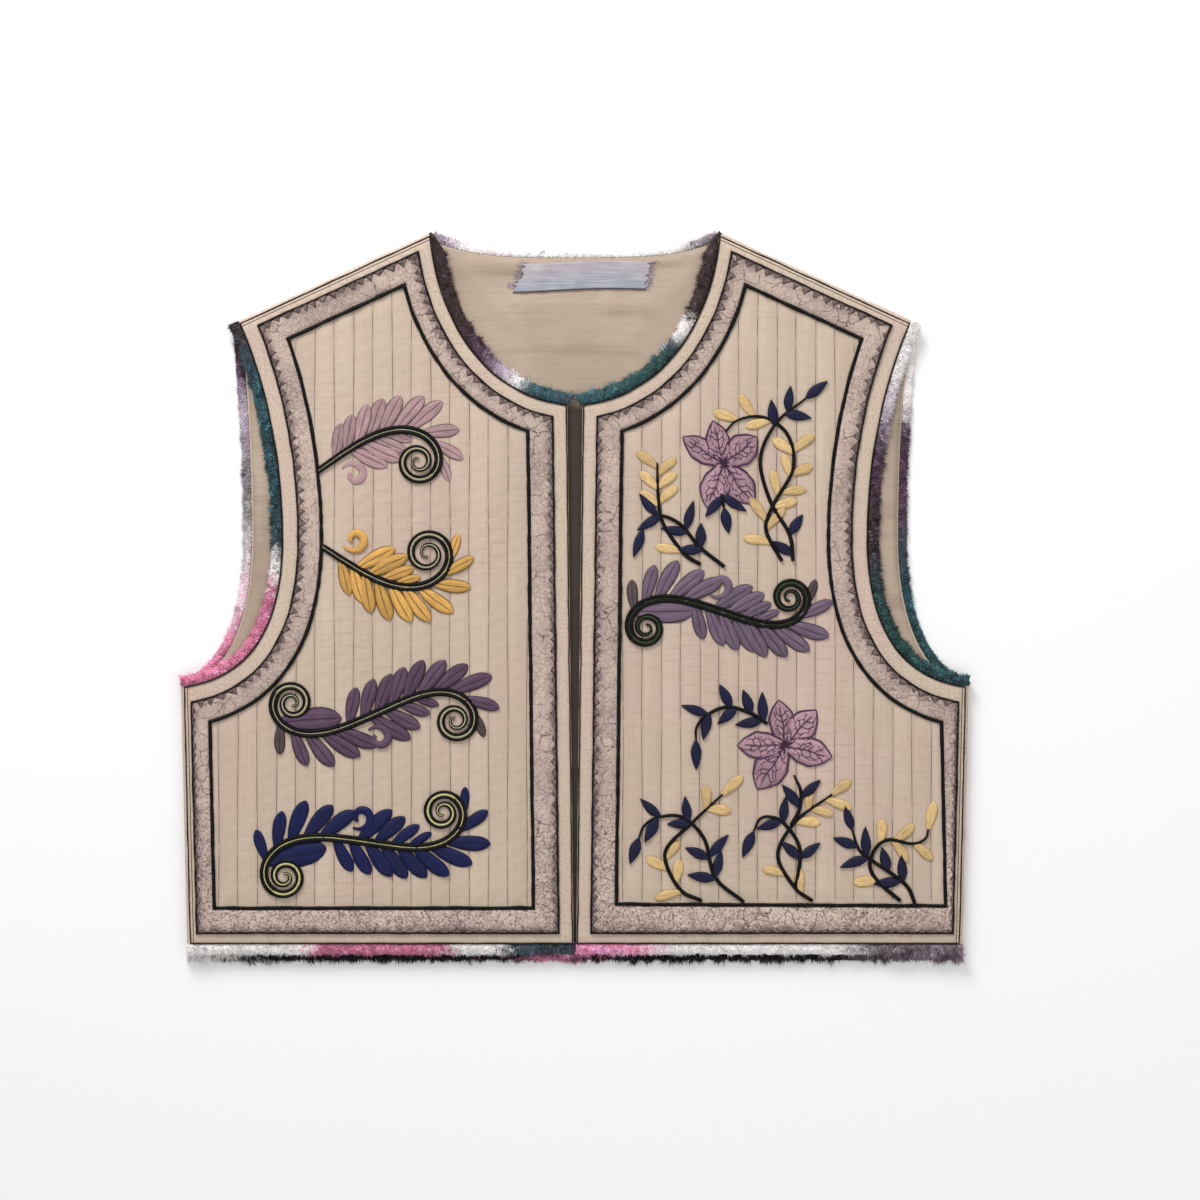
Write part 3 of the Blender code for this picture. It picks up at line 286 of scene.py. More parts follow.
def bezier(p0, p1, p2, p3, steps):
    t = np.linspace(0.0, 1.0, steps + 1)[:, None]
    p0, p1, p2, p3 = (np.array(p, float) for p in (p0, p1, p2, p3))
    return (1 - t) ** 3 * p0 + 3 * (1 - t) ** 2 * t * p1 + 3 * (1 - t) * t**2 * p2 + t**3 * p3


def unit(vectors):
    return vectors / np.linalg.norm(vectors, axis=-1, keepdims=True)


def lengths_along(points):
    return np.concatenate([[0.0], np.cumsum(np.linalg.norm(np.diff(points, axis=0), axis=1))])


def read_at(at, along, rows):
    """Rows that stand at distances along a path, read at other distances."""
    return np.stack([np.interp(at, along, column) for column in rows.T], axis=-1)


def resampled(points, steps):
    along = lengths_along(points)
    return read_at(np.linspace(0.0, along[-1], steps + 1), along, points)


def evenly(points, spacing=SOFT_STEP):
    points = np.array(points, float)
    return resampled(points, max(2, round(lengths_along(points)[-1] / spacing)))


def smooth_through(points, per_span):
    """A Catmull-Rom curve through the points."""
    p = np.array(points, float)
    p = np.vstack([2 * p[0] - p[1], p, 2 * p[-1] - p[-2]])
    spans = []
    for a, b, c, d in zip(p[:-3], p[1:-2], p[2:-1], p[3:]):
        spans.append(bezier(b, b + (c - a) / 6, c - (d - b) / 6, c, per_span)[:-1])
    return np.vstack([*spans, p[-2]])


def left_normals(points):
    """Unit normals on the left of the polyline's travel, mitred at its points."""
    steps = unit(np.diff(points, axis=0))
    mean = unit(np.vstack([steps[:1], steps[:-1] + steps[1:], steps[-1:]]))
    normals = np.stack([-mean[:, 1], mean[:, 0]], axis=1)
    turn = np.concatenate([[1.0], (mean[1:-1] * steps[1:]).sum(1), [1.0]])
    return normals / np.maximum(turn, 0.5)[:, None]


def crossing(first, second):
    """Where the first polyline meets the second: the point, and the step of each that it lies on."""
    a, ab = first[:-1, None], np.diff(first, axis=0)[:, None]
    c, cd = second[None, :-1], np.diff(second, axis=0)[None]
    det = ab[..., 0] * cd[..., 1] - ab[..., 1] * cd[..., 0]
    det = np.where(np.abs(det) < 1e-16, np.nan, det)
    away = c - a
    s = (away[..., 0] * cd[..., 1] - away[..., 1] * cd[..., 0]) / det
    t = (away[..., 0] * ab[..., 1] - away[..., 1] * ab[..., 0]) / det
    hit = (s >= -1e-9) & (s <= 1 + 1e-9) & (t >= -1e-9) & (t <= 1 + 1e-9)
    i, j = np.argwhere(hit)[-1]
    return first[i] + s[i, j] * (first[i + 1] - first[i]), i, j


def offset_loop(edges, distances):
    """The closed outline of named edges, each moved inwards by its own distance and cut where it
    meets its neighbours. Every edge keeps its number of points."""
    moved = []
    for name, points in edges.items():
        shifted = points + left_normals(points) * distances.get(name, 0.0)
        before = shifted[0] + SPARE * unit(shifted[0] - shifted[1])
        after = shifted[-1] + SPARE * unit(shifted[-1] - shifted[-2])
        moved.append(np.vstack([before, shifted, after]))
    corners = [crossing(moved[k - 1], moved[k]) for k in range(len(moved))]
    loop = {}
    for k, name in enumerate(edges):
        start, _, first = corners[k]
        end, last, _ = corners[(k + 1) % len(moved)]
        between = moved[k][first + 1 : last + 1]
        loop[name] = resampled(np.vstack([start, between, end]), len(edges[name]) - 1)
    return loop


def ring(loop):
    return np.vstack([points[:-1] for points in loop.values()])


def within(points, polygon):
    x, y = points[:, 0], points[:, 1]
    result = np.zeros(len(points), bool)
    for (x0, y0), (x1, y1) in zip(polygon, np.roll(polygon, -1, axis=0)):
        spans = (y0 > y) != (y1 > y)
        rise = y1 - y0 if y1 != y0 else 1e-12
        result ^= spans & (x < (x1 - x0) * (y - y0) / rise + x0)
    return result


def distance_to(points, path):
    best = np.full(len(points), np.inf)
    for a, b in zip(path[:-1], path[1:]):
        step = b - a
        share = np.clip(((points - a) @ step) / max(step @ step, 1e-16), 0, 1)
        best = np.minimum(best, np.linalg.norm(points - a - share[:, None] * step, axis=1))
    return best


def distance_to_ring(points, outline):
    return distance_to(points, np.vstack([outline, outline[:1]]))


def soft_noise(points, size, seed):
    """A smooth unevenness between about -1 and 1, of folds about the given size."""
    rng = np.random.default_rng(seed)
    total = np.zeros(len(points))
    for _ in range(6):
        turn = rng.uniform(0, 2 * math.pi)
        wave = 2 * math.pi / (size * rng.uniform(0.7, 1.6))
        along = points[:, 0] * math.cos(turn) + points[:, 1] * math.sin(turn)
        total += np.sin(along * wave + rng.uniform(0, 2 * math.pi))
    return total / 3.5


# The cut


def armhole_of(deepest, low, high):
    lower = bezier(UNDERARM, low, (deepest[0], 0.2060), deepest, 60)
    upper = bezier(deepest, (deepest[0], 0.3150), high, SHOULDER_TIP, 60)
    return evenly(np.vstack([lower, upper[1:]]))


def front_edges():
    """One front's edges, anticlockwise, in the half x >= 0."""
    return {
        "hem": evenly([HEM_FRONT, SIDE_HEM]),
        "side": evenly([SIDE_HEM, UNDERARM]),
        "armhole": armhole_of(ARMHOLE_FRONT, (0.2050, 0.1710), (0.1990, 0.3600)),
        "shoulder": evenly([SHOULDER_TIP, NECK_POINT]),
        "neck": evenly(bezier(NECK_POINT, (0.0860, 0.3950), (0.0560, 0.3500), NECK_FRONT, 60)),
        "front": evenly([NECK_FRONT, HEM_FRONT]),
    }


def mirrored(points):
    return (np.array(points) * (-1, 1))[::-1]


def back_edges():
    """The whole back's edges, anticlockwise."""
    side = evenly([SIDE_HEM, UNDERARM])
    armhole = armhole_of(ARMHOLE_BACK, (0.2230, 0.1720), (0.2100, 0.3600))
    shoulder = evenly([SHOULDER_TIP, NECK_POINT])
    half_neck = bezier(NECK_POINT, (0.0700, 0.4385), (0.0400, BACK_NECK[1]), BACK_NECK, 40)
    return {
        "hem": evenly([(-SIDE_HEM[0], 0.0), SIDE_HEM]),
        "side_left": side,
        "armhole_left": armhole,
        "shoulder_left": shoulder,
        "neck": evenly(np.vstack([half_neck, mirrored(half_neck)[1:]])),
        "shoulder_right": mirrored(shoulder),
        "armhole_right": mirrored(armhole),
        "side_right": mirrored(side),
    }


FOLDS = (np.array([SIDE_HEM, UNDERARM]), np.array([SHOULDER_TIP, NECK_POINT]))
CUT = offset_loop(front_edges(), {"side": GAP, "shoulder": GAP})


def border_loop(share, across, side):
    """A loop in the border: inside the strip by a share of the band's width and a little more."""
    distances = {}
    for name, row in BORDERS.items():
        width = row.band
        if side > 0 and name in LEFT_BAND:
            width = width + np.linspace(*LEFT_BAND[name], len(CUT[name]))[:, None]
        distances[name] = row.strip + across + share * width
    return offset_loop(CUT, distances)


FIELDS = {side: ring(border_loop(1.0, QUILT_START, side)) for side in (-1, 1)}


def front_lift(points):
    points = np.stack([np.abs(points[:, 0]), points[:, 1]], axis=1)
    near = np.minimum(distance_to(points, FOLDS[0]), distance_to(points, FOLDS[1]))
    return FOLD_LIFT * np.exp(-((near / FOLD_REACH) ** 2))


def seam_share(points):
    """Each point's place across the quilting, in channels, with the seams at whole numbers."""
    waver = 0.00035 * np.sin(points[:, 1] * 41.0 + 9.0 * np.round(points[:, 0] / CHANNEL))
    return (np.abs(points[:, 0]) - FIRST_CHANNEL + waver) / CHANNEL


def front_height(points, side):
    """The upper face of a front in the half x >= 0: the fold's lift, the quilting and soft unevenness."""
    field = FIELDS[side]
    depth = distance_to_ring(points, field) * within(points, field)
    full = np.clip(depth / PUFF_EDGE, 0, 1)
    wave = np.abs(np.sin(np.pi * seam_share(points))) ** 0.75
    pucker = 1 + 0.25 * np.sin(points[:, 1] * 620 + 3 * seam_share(points))
    rumple = 0.00035 * soft_noise(points * (side, 1), 0.075, 11 + side) * np.clip(depth / 0.02, 0, 1)
    return FRONT_LOW + FRONT_WALL + front_lift(points) + PUFF * wave * full * pucker + rumple


# Meshes


def piece(name, vertices, faces, material, uv=None, colours=None, side=1, smooth=True):
    """A piece of the garment as one mesh in place, riding on its body. Left pieces are drawn at
    x >= 0, and right ones are their mirror image."""
    vertices = np.array(vertices, float) * (side, 1, 1) + (0, HEM_Y, 0)
    if side < 0:
        faces = [tuple(f)[::-1] for f in faces]
    mesh = bpy.data.meshes.new(name)
    mesh.from_pydata(vertices.tolist(), [], [tuple(int(k) for k in f) for f in faces])
    corners = np.empty(len(mesh.loops), int)
    mesh.loops.foreach_get("vertex_index", corners)
    if uv is not None:
        layer = mesh.uv_layers.new(name="cloth")
        layer.data.foreach_set("uv", np.array(uv, float)[corners].ravel())
    if colours is not None:
        dyed = mesh.attributes.new("dye", "FLOAT_COLOR", "POINT")
        dyed.data.foreach_set("color", np.column_stack([colours, np.ones(len(vertices))]).ravel())
    if smooth:
        mesh.shade_smooth()
    else:
        mesh.shade_flat()
    mesh.materials.append(material)
    made = bpy.data.objects.new(name, mesh)
    bpy.context.scene.collection.objects.link(made)
    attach(made, "root")
    return made


def with_height(points, height):
    return np.column_stack([points, np.broadcast_to(height, len(points))])


def ring_wall(rings):
    """Faces of a tube whose sections are the columns of closed rings of one length."""
    count = len(rings[0])
    faces = []
    for r in range(len(rings)):
        s = (r + 1) % len(rings)
        for k in range(count):
            j = (k + 1) % count
            faces.append((r * count + k, r * count + j, s * count + j, s * count + k))
    return np.vstack(rings), faces


def strip_faces(rows, size):
    """Faces of a bar through open sections of one size, closed at both ends."""
    faces = [tuple(range(size))[::-1]]
    for a in range(0, (rows - 1) * size, size):
        for k in range(size):
            j = (k + 1) % size
            faces.append((a + k, a + j, a + size + j, a + size + k))
    faces.append(tuple(range((rows - 1) * size, rows * size)))
    return faces


def grid_uv(along, across):
    """Places on a grid of points, row by row."""
    return np.stack([np.tile(along, len(across)), np.repeat(across, len(along))], axis=1)


def sheet_faces(triangles, count):
    """The lower and the upper face of a sheet, whose upper points follow its lower ones."""
    return [f[::-1] for f in triangles] + [tuple(count + k for k in f) for f in triangles]


def triangulated(outline, points):
    """Triangles inside the outline, through its own points and the given ones. Returns the points,
    the triangles and the outline's places among them."""
    everything = np.vstack([outline, points]) if len(points) else outline
    count = len(outline)
    lines = [(k, (k + 1) % count) for k in range(count)]
    made = delaunay_2d_cdt([Vector(p) for p in everything], lines, [], 1, 1e-7)
    place = {}
    for k, sources in enumerate(made[3]):
        for source in sources:
            place[source] = k
    flat = np.array([tuple(p) for p in made[0]])
    return flat, [tuple(f) for f in made[2]], [place[k] for k in range(count)]


def grid_within(outline, across, along, clear):
    """The points of a grid that lie inside the outline and clear of it."""
    low, high = outline.min(0), outline.max(0)
    x = np.arange(math.floor((low[0] - FIRST_CHANNEL) / across), (high[0] - FIRST_CHANNEL) / across + 1)
    y = np.arange(low[1], high[1], along)
    xs, ys = np.meshgrid(FIRST_CHANNEL + x * across, y)
    points = np.stack([xs.ravel(), ys.ravel()], axis=1)
    points = points[within(points, outline)]
    return points[distance_to_ring(points, outline) > clear]


class Joined:
    """Many small pieces gathered into one mesh."""

    def __init__(self):
        self.vertices, self.faces, self.uv, self.colours = [], [], [], []
        self.count = 0

    def add(self, vertices, faces, uv, colour):
        self.vertices.append(np.array(vertices, float))
        self.faces += [tuple(k + self.count for k in f) for f in faces]
        self.uv.append(np.array(uv, float))
        self.colours.append(np.broadcast_to(colour, (len(vertices), 3)))
        self.count += len(vertices)

    def made(self, name, material, slot, side=1, smooth=True):
        return piece(name, np.vstack(self.vertices), self.faces, material,
                     np.vstack(self.uv), np.vstack(self.colours), side, smooth)


# Materials


class Surface:
    """A cloth or thread finish built from shader nodes."""

    def __init__(self, name, roughness=0.85, **sockets):
        self.material = bpy.data.materials.new(name)
        self.material.use_nodes = True
        self.tree = self.material.node_tree
        self.shader = self.tree.nodes["Principled BSDF"]
        self.shader.inputs["Roughness"].default_value = roughness
        self.shader.inputs["Specular IOR Level"].default_value = 0.25
        for socket, value in sockets.items():
            self.shader.inputs[socket.replace("_", " ")].default_value = value
        self.ground = None

    def add(self, kind, settings=None, **inputs):
        """A node, with its settings and its inputs, which are values or other nodes' outputs."""
        node = self.tree.nodes.new("ShaderNode" + kind)
        for key, value in (settings or {}).items():
            setattr(node, key, value)
        for key, value in inputs.items():
            socket = node.inputs[int(key[1:])] if key[0] == "i" and key[1:].isdigit() else node.inputs[key]
            self.put(socket, value)
        return node

    def put(self, socket, value):
        if isinstance(value, bpy.types.NodeSocket):
            self.tree.links.new(value, socket)
        else:
            socket.default_value = value

    def number(self, operation, a, b=0.0, c=0.0):
        return self.add("Math", {"operation": operation}, i0=a, i1=b, i2=c).outputs[0]

    def times(self, a, b):
        return self.number("MULTIPLY", a, b)

    def vector(self, operation, a, b, c=(0.0, 0.0, 0.0)):
        return self.add("VectorMath", {"operation": operation}, i0=a, i1=b, i2=c).outputs[0]

    def place(self):
        """The point itself, in metres."""
        return self.add("TexCoord").outputs["Object"]

    def parts(self, vector):
        """A vector's x and y."""
        split = self.add("SeparateXYZ", Vector=vector)
        return split.outputs["X"], split.outputs["Y"]

    def along_and_across(self):
        """The two values of the piece's own UV map."""
        return self.parts(self.add("UVMap", {"uv_map": "cloth"}).outputs["UV"])

    def dye(self, output="Color"):
        """The piece's own dye at each point, which on the pile also holds its painted shade and highlight."""
        return self.add("Attribute", {"attribute_name": "dye"}).outputs[output]

    def noise(self, place, scale, detail, roughness=0.5):
        node = self.add("TexNoise", Vector=place, Scale=scale, Detail=detail, Roughness=roughness)
        return node.outputs["Fac"]

    def cells(self, place, scale):
        node = self.add("TexVoronoi", {"feature": "DISTANCE_TO_EDGE"}, Vector=place, Scale=scale)
        return node.outputs["Distance"]

    def blend(self, share, first, second):
        node = self.add("Mix", {"data_type": "RGBA"})
        self.put(node.inputs["Factor"], share)
        self.put(node.inputs["A"], first)
        self.put(node.inputs["B"], second)
        return node.outputs["Result"]

    def cover(self, share, colour):
        """Lays a colour over the ground, as thickly as the share says."""
        self.ground = self.blend(share, self.ground, colour)

    def between(self, value, low, high, start=0.0, end=1.0):
        node = self.add("MapRange", {"interpolation_type": "SMOOTHSTEP"}, Value=value)
        for key, amount in zip(("From Min", "From Max", "To Min", "To Max"), (low, high, start, end)):
            node.inputs[key].default_value = amount
        return node.outputs["Result"]

    def stretched(self, place, x, y):
        return self.add("Mapping", Vector=place, Scale=(x, y, 1.0)).outputs["Vector"]

    def bump(self, height, distance, strength=1.0):
        node = self.add("Bump", Height=height, Distance=distance, Strength=strength)
        before = self.shader.inputs["Normal"]
        if before.is_linked:
            self.tree.links.new(before.links[0].from_socket, node.inputs["Normal"])
        self.tree.links.new(node.outputs["Normal"], before)

    def colour(self, value):
        self.put(self.shader.inputs["Base Color"], value)
        return self.material


def rgba(red, green, blue):
    """A colour as it looks, for a shader socket."""
    return (*as_light((red, green, blue)).tolist(), 1.0)


def weave(surface, place):
    """The over and under of plain woven threads, as bump."""
    waves = []
    for direction in "XY":
        wave = surface.add("TexWave", {"wave_type": "BANDS", "bands_direction": direction}, Vector=place,
                           Scale=75.0, Distortion=0.6, Detail=1.0)
        waves.append(wave.outputs["Fac"])
    surface.bump(surface.times(*waves), 0.00012, 0.5)


def quilted_cloth():
    """Cream cloth, each channel of its own slight tone, with thin sewn seams, painted shade beside them, a
    painted sheen and faint hair lines.
    The piece's colour is white where it is quilted."""
    s = Surface("quilted_cloth", 0.82)
    place = s.place()
    quilted = s.dye("Fac")
    share, along = s.along_and_across()
    channel = s.number("FLOOR", share)
    tone = s.add("TexWhiteNoise", {"noise_dimensions": "1D"}, W=channel).outputs["Value"]
    drift = s.noise(place, 9.0, 2.0)
    s.ground = s.blend(s.between(drift, 0.35, 0.68), rgba(0.755, 0.690, 0.610), rgba(0.770, 0.680, 0.625))
    changed = s.times(s.between(tone, 0.0, 1.0, 0.0, 0.55), quilted)
    s.cover(changed, rgba(0.720, 0.640, 0.580))
    streaks = s.noise(s.stretched(place, 900.0, 26.0), 1.0, 3.0)
    s.cover(s.between(streaks, 0.42, 0.72, 0.0, 0.26), rgba(0.66, 0.58, 0.51))
    # Painted sheen: paler streaks on the cloth
    sheen = s.noise(s.stretched(place, 60.0, 14.0), 1.0, 2.0)
    s.cover(s.between(sheen, 0.50, 0.75, 0.0, 0.30), rgba(0.81, 0.74, 0.67))
    patchy = s.noise(place, 16.0, 2.0)
    level = s.number("MULTIPLY_ADD", along, 125.0, s.times(tone, 7.0))
    wander = s.number("MULTIPLY_ADD", s.noise(place, 60.0, 2.0), 0.9, level)
    hair = s.times(s.between(s.number("PINGPONG", wander, 0.5), 0.0, 0.035, 1.0, 0.0),
                   s.between(patchy, 0.47, 0.62))
    s.cover(s.times(hair, 0.40), rgba(0.47, 0.39, 0.34))
    grain = s.noise(place, 750.0, 2.0, 0.7)
    plain = s.number("SUBTRACT", 1.0, quilted)
    marks = s.times(s.between(grain, 0.60, 0.70, 0.0, 0.55), plain)
    s.cover(marks, rgba(0.40, 0.32, 0.29))
    pale = s.times(s.between(grain, 0.46, 0.34, 0.0, 0.40), plain)
    s.cover(pale, rgba(0.86, 0.80, 0.76))
    beside = s.number("PINGPONG", share, 0.5)
    worn = s.noise(s.stretched(place, 1.0, 90.0), 1.0, 2.0)
    seam = s.times(s.between(beside, 0.006, 0.024, 1.0, 0.0), s.between(worn, 0.30, 0.58, 0.25, 0.85))
    seam = s.times(seam, quilted)
    # Painted shade in the dip beside each seam, where the puffs fall away
    shade = s.times(s.between(beside, 0.0, 0.15, 0.22, 0.0), quilted)
    s.cover(shade, rgba(0.58, 0.50, 0.44))
    s.cover(seam, rgba(0.40, 0.32, 0.28))
    weave(s, place)
    s.bump(s.times(seam, -1.0), 0.0004)
    s.bump(s.noise(place, 260.0, 3.0), 0.0003, 0.5)
    return s.colour(s.ground)


def lining_cloth():
    """Plain cloth with soft darker bars, and a painted shadow down the narrow space between the fronts."""
    s = Surface("lining_cloth", 0.85)
    place = s.place()
    drift = s.noise(place, 12.0, 3.0)
    s.ground = s.blend(s.between(drift, 0.35, 0.68), rgba(0.690, 0.620, 0.555), rgba(0.635, 0.565, 0.500))
    bars = s.noise(s.stretched(place, 7.0, 60.0), 1.0, 3.0)
    s.cover(s.between(bars, 0.50, 0.72, 0.0, 0.45), rgba(0.53, 0.45, 0.39))
    fine = s.noise(s.stretched(place, 60.0, 700.0), 1.0, 3.0)
    s.cover(s.between(fine, 0.45, 0.75, 0.0, 0.22), rgba(0.52, 0.45, 0.39))
    sideways, height = s.parts(place)
    below_neck = s.between(height, 0.118, 0.128, 1.0, 0.0)
    # Painted shadow: near black in the narrow space between the fronts, below the neck
    gap_shadow = s.times(s.between(s.number("ABSOLUTE", sideways), 0.004, 0.009, 0.92, 0.0), below_neck)
    s.cover(gap_shadow, rgba(0.15, 0.12, 0.10))
    weave(s, place)
    s.bump(s.noise(place, 180.0, 3.0), 0.0004, 0.5)
    return s.colour(s.ground)


def border_cloth():
    """Pink-grey cloth with a rubbed, speckled and finely cracked finish, darker by its outer cord."""
    s = Surface("border_band", 0.8)
    place = s.place()
    shift = s.add("TexNoise", Vector=place, Scale=160.0, Detail=3.0)
    bent = s.vector("MULTIPLY_ADD", shift.outputs["Color"], (0.006,) * 3, place)
    drift = s.noise(place, 34.0, 4.0, 0.6)
    s.ground = s.blend(s.between(drift, 0.35, 0.66), rgba(0.745, 0.665, 0.615), rgba(0.655, 0.575, 0.545))
    rubbed = s.between(s.parts(place)[1], HEM_Y + 0.02, HEM_Y + 0.14, 1.0, 0.42)
    speck = s.noise(place, 800.0, 3.0, 0.7)
    pale = s.times(s.between(speck, 0.50, 0.66, 0.0, 0.80), rubbed)
    s.cover(pale, rgba(0.88, 0.81, 0.77))
    dark = s.times(s.between(speck, 0.47, 0.34, 0.0, 0.95), rubbed)
    s.cover(dark, rgba(0.27, 0.20, 0.21))
    large, fine = s.cells(bent, 95.0), s.cells(bent, 260.0)
    where = s.noise(place, 60.0, 2.0)
    veins = s.times(s.between(large, 0.0, 0.036, 1.0, 0.0), s.between(where, 0.46, 0.60))
    hairs = s.times(s.between(fine, 0.0, 0.045, 0.70, 0.0), s.between(where, 0.56, 0.42))
    cracks = s.number("MAXIMUM", veins, hairs)
    s.cover(s.times(cracks, 0.75), rgba(0.22, 0.16, 0.16))
    across = s.along_and_across()[1]
    patchy = s.between(s.noise(place, 110.0, 4.0, 0.65), 0.36, 0.64)
    rim = s.times(s.between(across, 0.0, 0.55, 0.80, 0.0), patchy)
    s.cover(rim, rgba(0.36, 0.28, 0.28))
    s.bump(s.times(cracks, -1.0), 0.0003, 0.7)
    s.bump(speck, 0.0003, 0.6)
    return s.colour(s.ground)


def point_cloth():
    """The dark rubbed cloth of the cut points along the band."""
    s = Surface("cut_points", 0.85)
    place = s.place()
    drift = s.noise(place, 420.0, 3.0, 0.65)
    s.ground = s.blend(s.between(drift, 0.35, 0.65), rgba(0.50, 0.43, 0.41), rgba(0.30, 0.24, 0.24))
    edge = s.along_and_across()[0]
    s.cover(s.between(edge, 0.0, 0.75, 0.80, 0.0), rgba(0.13, 0.09, 0.10))
    s.bump(drift, 0.0003, 0.6)
    return s.colour(s.ground)


def cord_finish():
    """Black cord with a fine twist and worn brown places."""
    s = Surface("black_cord", 0.6, Specular_IOR_Level=0.15)
    along, across = s.along_and_across()
    twist = s.number("SINE", s.number("MULTIPLY_ADD", along, 1900.0, s.times(across, 6.283)))
    place = s.place()
    worn = s.between(s.noise(place, 240.0, 3.0), 0.55, 0.75, 0.0, 0.35)
    dyed = s.dye()
    s.ground = s.blend(worn, dyed, s.blend(0.18, dyed, rgba(0.42, 0.34, 0.26)))
    s.bump(twist, 0.00012, 0.6)
    return s.colour(s.ground)


def stitched(name, roughness, line, rib_line):
    """Padded satin stitch in the piece's own dye: fine threads along it, with a painted highlight on them and
    painted shade between them, a dark rib and dark edges.
    The UV map runs along the piece, and from -1 to 1 across it."""
    s = Surface(name, roughness)
    dyed = s.dye()
    along, across = s.along_and_across()
    place = s.place()
    fan = s.add("CombineXYZ", X=s.times(along, 2.0), Y=s.times(across, 7.0))
    threads = s.noise(fan.outputs["Vector"], 1.6, 4.0, 0.65)
    # Painted highlight: a lighter share of the dye on the raised threads
    light = s.vector("MULTIPLY_ADD", dyed, (1.55, 1.50, 1.50), (0.014,) * 3)
    s.ground = s.blend(s.between(threads, 0.46, 0.72, 0.0, 0.90), dyed, light)
    # Painted shade: a darker share of the dye between the threads
    thread_shade = s.vector("MULTIPLY", dyed, (0.38, 0.35, 0.40))
    s.cover(s.between(threads, 0.50, 0.30, 0.0, 0.85), thread_shade)
    middle = s.number("ABSOLUTE", across)
    rib = s.times(s.between(middle, 0.02, 0.16, 1.0, 0.0), rib_line)
    edge = s.times(s.between(middle, 0.72, 0.97), line)
    dark = s.number("MAXIMUM", rib, edge)
    s.cover(dark, s.blend(0.74, dyed, rgba(0.06, 0.03, 0.05)))
    s.bump(threads, 0.0003, 0.7)
    s.bump(s.noise(place, 1500.0, 2.0), 0.00012, 0.5)
    return s.colour(s.ground)


def pile_finish():
    """Brushed yarn in the colour of each tuft and of the core: their dye with painted shade and highlight,
    flecked paler here and there.
    """
    s = Surface("yarn_pile", 0.95)
    dyed = s.dye()
    place = s.place()
    light = s.noise(place, 700.0, 2.0)
    pale = s.vector("MULTIPLY_ADD", dyed, (1.3,) * 3, (0.01,) * 3)
    return s.colour(s.blend(s.between(light, 0.35, 0.70, 0.0, 0.6), dyed, pale))


def label_finish():
    """Worn lavender-grey tape with weft lines and pale rubbed places."""
    s = Surface("label_tape", 0.6)
    place = s.place()
    lines = s.noise(s.stretched(place, 30.0, 1500.0), 1.0, 3.0, 0.6)
    drift = s.noise(s.stretched(place, 45.0, 130.0), 1.0, 3.0)
    across = s.along_and_across()[1]
    s.ground = s.blend(s.between(across, 0.25, 0.85), rgba(0.57, 0.58, 0.62), rgba(0.64, 0.60, 0.63))
    s.cover(s.between(drift, 0.45, 0.70, 0.0, 0.6), rgba(0.70, 0.69, 0.71))
    s.cover(s.between(lines, 0.48, 0.72, 0.0, 0.45), rgba(0.80, 0.79, 0.80))
    s.cover(s.between(lines, 0.45, 0.28, 0.0, 0.45), rgba(0.38, 0.37, 0.44))
    s.cover(s.between(across, 0.07, 0.0, 0.0, 0.9), rgba(0.12, 0.11, 0.15))
    s.bump(lines, 0.0003, 0.6)
    return s.colour(s.ground)


# Flat cloth


def front_sheet(front, side, material):
    """A front as one thin quilted shell with a turned, rounded edge."""
    levels = ((0.0013, 0.0), (0.0005, -0.0003), (0.0, -0.0010), (0.0, -0.0021), (0.0003, -FRONT_WALL))
    tighter = {"side": 0.4, "shoulder": 0.4}
    rings = []
    for inset, drop in levels:
        flat = ring(offset_loop(CUT, {name: inset * tighter.get(name, 1.0) for name in BORDERS}))
        rings.append(with_height(flat, FRONT_LOW + FRONT_WALL + front_lift(flat) + drop))
    rim = rings[0][:, :2]
    inner = grid_within(rim, CHANNEL / 8, CLOTH_GRID, 0.0011)
    points, triangles, places = triangulated(rim, inner)
    top = with_height(points, front_height(points, side))
    under = grid_within(rim, CHANNEL, 0.02, 0.006)
    low_points, low_triangles, low_places = triangulated(rings[-1][:, :2], under)
    low = with_height(low_points, FRONT_LOW + front_lift(low_points))
    vertices = [top, *rings[1:-1], low]
    starts = np.cumsum([0] + [len(v) for v in vertices])
    faces = list(triangles) + [tuple(starts[-2] + k for k in f)[::-1] for f in low_triangles]
    count = len(rim)
    rows = [places] + [[start + k for k in range(count)] for start in starts[1:-2]]
    rows.append([starts[-2] + k for k in low_places])
    for upper, lower in zip(rows[:-1], rows[1:]):
        for k in range(count):
            j = (k + 1) % count
            faces.append((upper[k], lower[k], lower[j], upper[j]))
    vertices = np.vstack(vertices)
    uv = np.stack([seam_share(vertices[:, :2]), vertices[:, 1]], axis=1)
    quilted = np.tile(within(vertices[:, :2], FIELDS[side])[:, None], (1, 3))
    made = piece(f"front_sheet_{front}", vertices, faces, material, uv, quilted, side)
    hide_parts(f"front_{front}")
    return made


def border_band(front, side, material):
    """The band, a strip of other cloth with turned edges, on the front between its cords."""
    section = ((0.0, 0.3), (0.05, 0.9), (0.25, 1.0), (0.5, 1.05), (0.75, 1.0), (0.95, 0.9), (1.0, 0.3))
    low, high = OUTER_CORD / 2, -INNER_CORD / 2
    rings = []
    for share, up in section:
        flat = ring(border_loop(share, low + share * (high - low), side))
        slack = 0.00022 * soft_noise(flat * (side, 1), 0.016, 31)
        rings.append(with_height(flat, front_height(flat, side) + GAP + up * BAND_WALL + slack * (up > 0.5)))
    for edge in (-1, 0):
        flat = rings[edge][:, :2]
        rings.append(with_height(flat, front_height(flat, side) + GAP / 2))
    vertices, faces = ring_wall(rings)
    across = [share for share, _ in section] + [1.0, 0.0]
    uv = grid_uv(lengths_along(rings[3][:, :2]), across)
    made = piece(f"band_{front}", vertices, [f[::-1] for f in faces], material, uv, side=side)
    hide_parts(f"border_band_{front}")
    return made


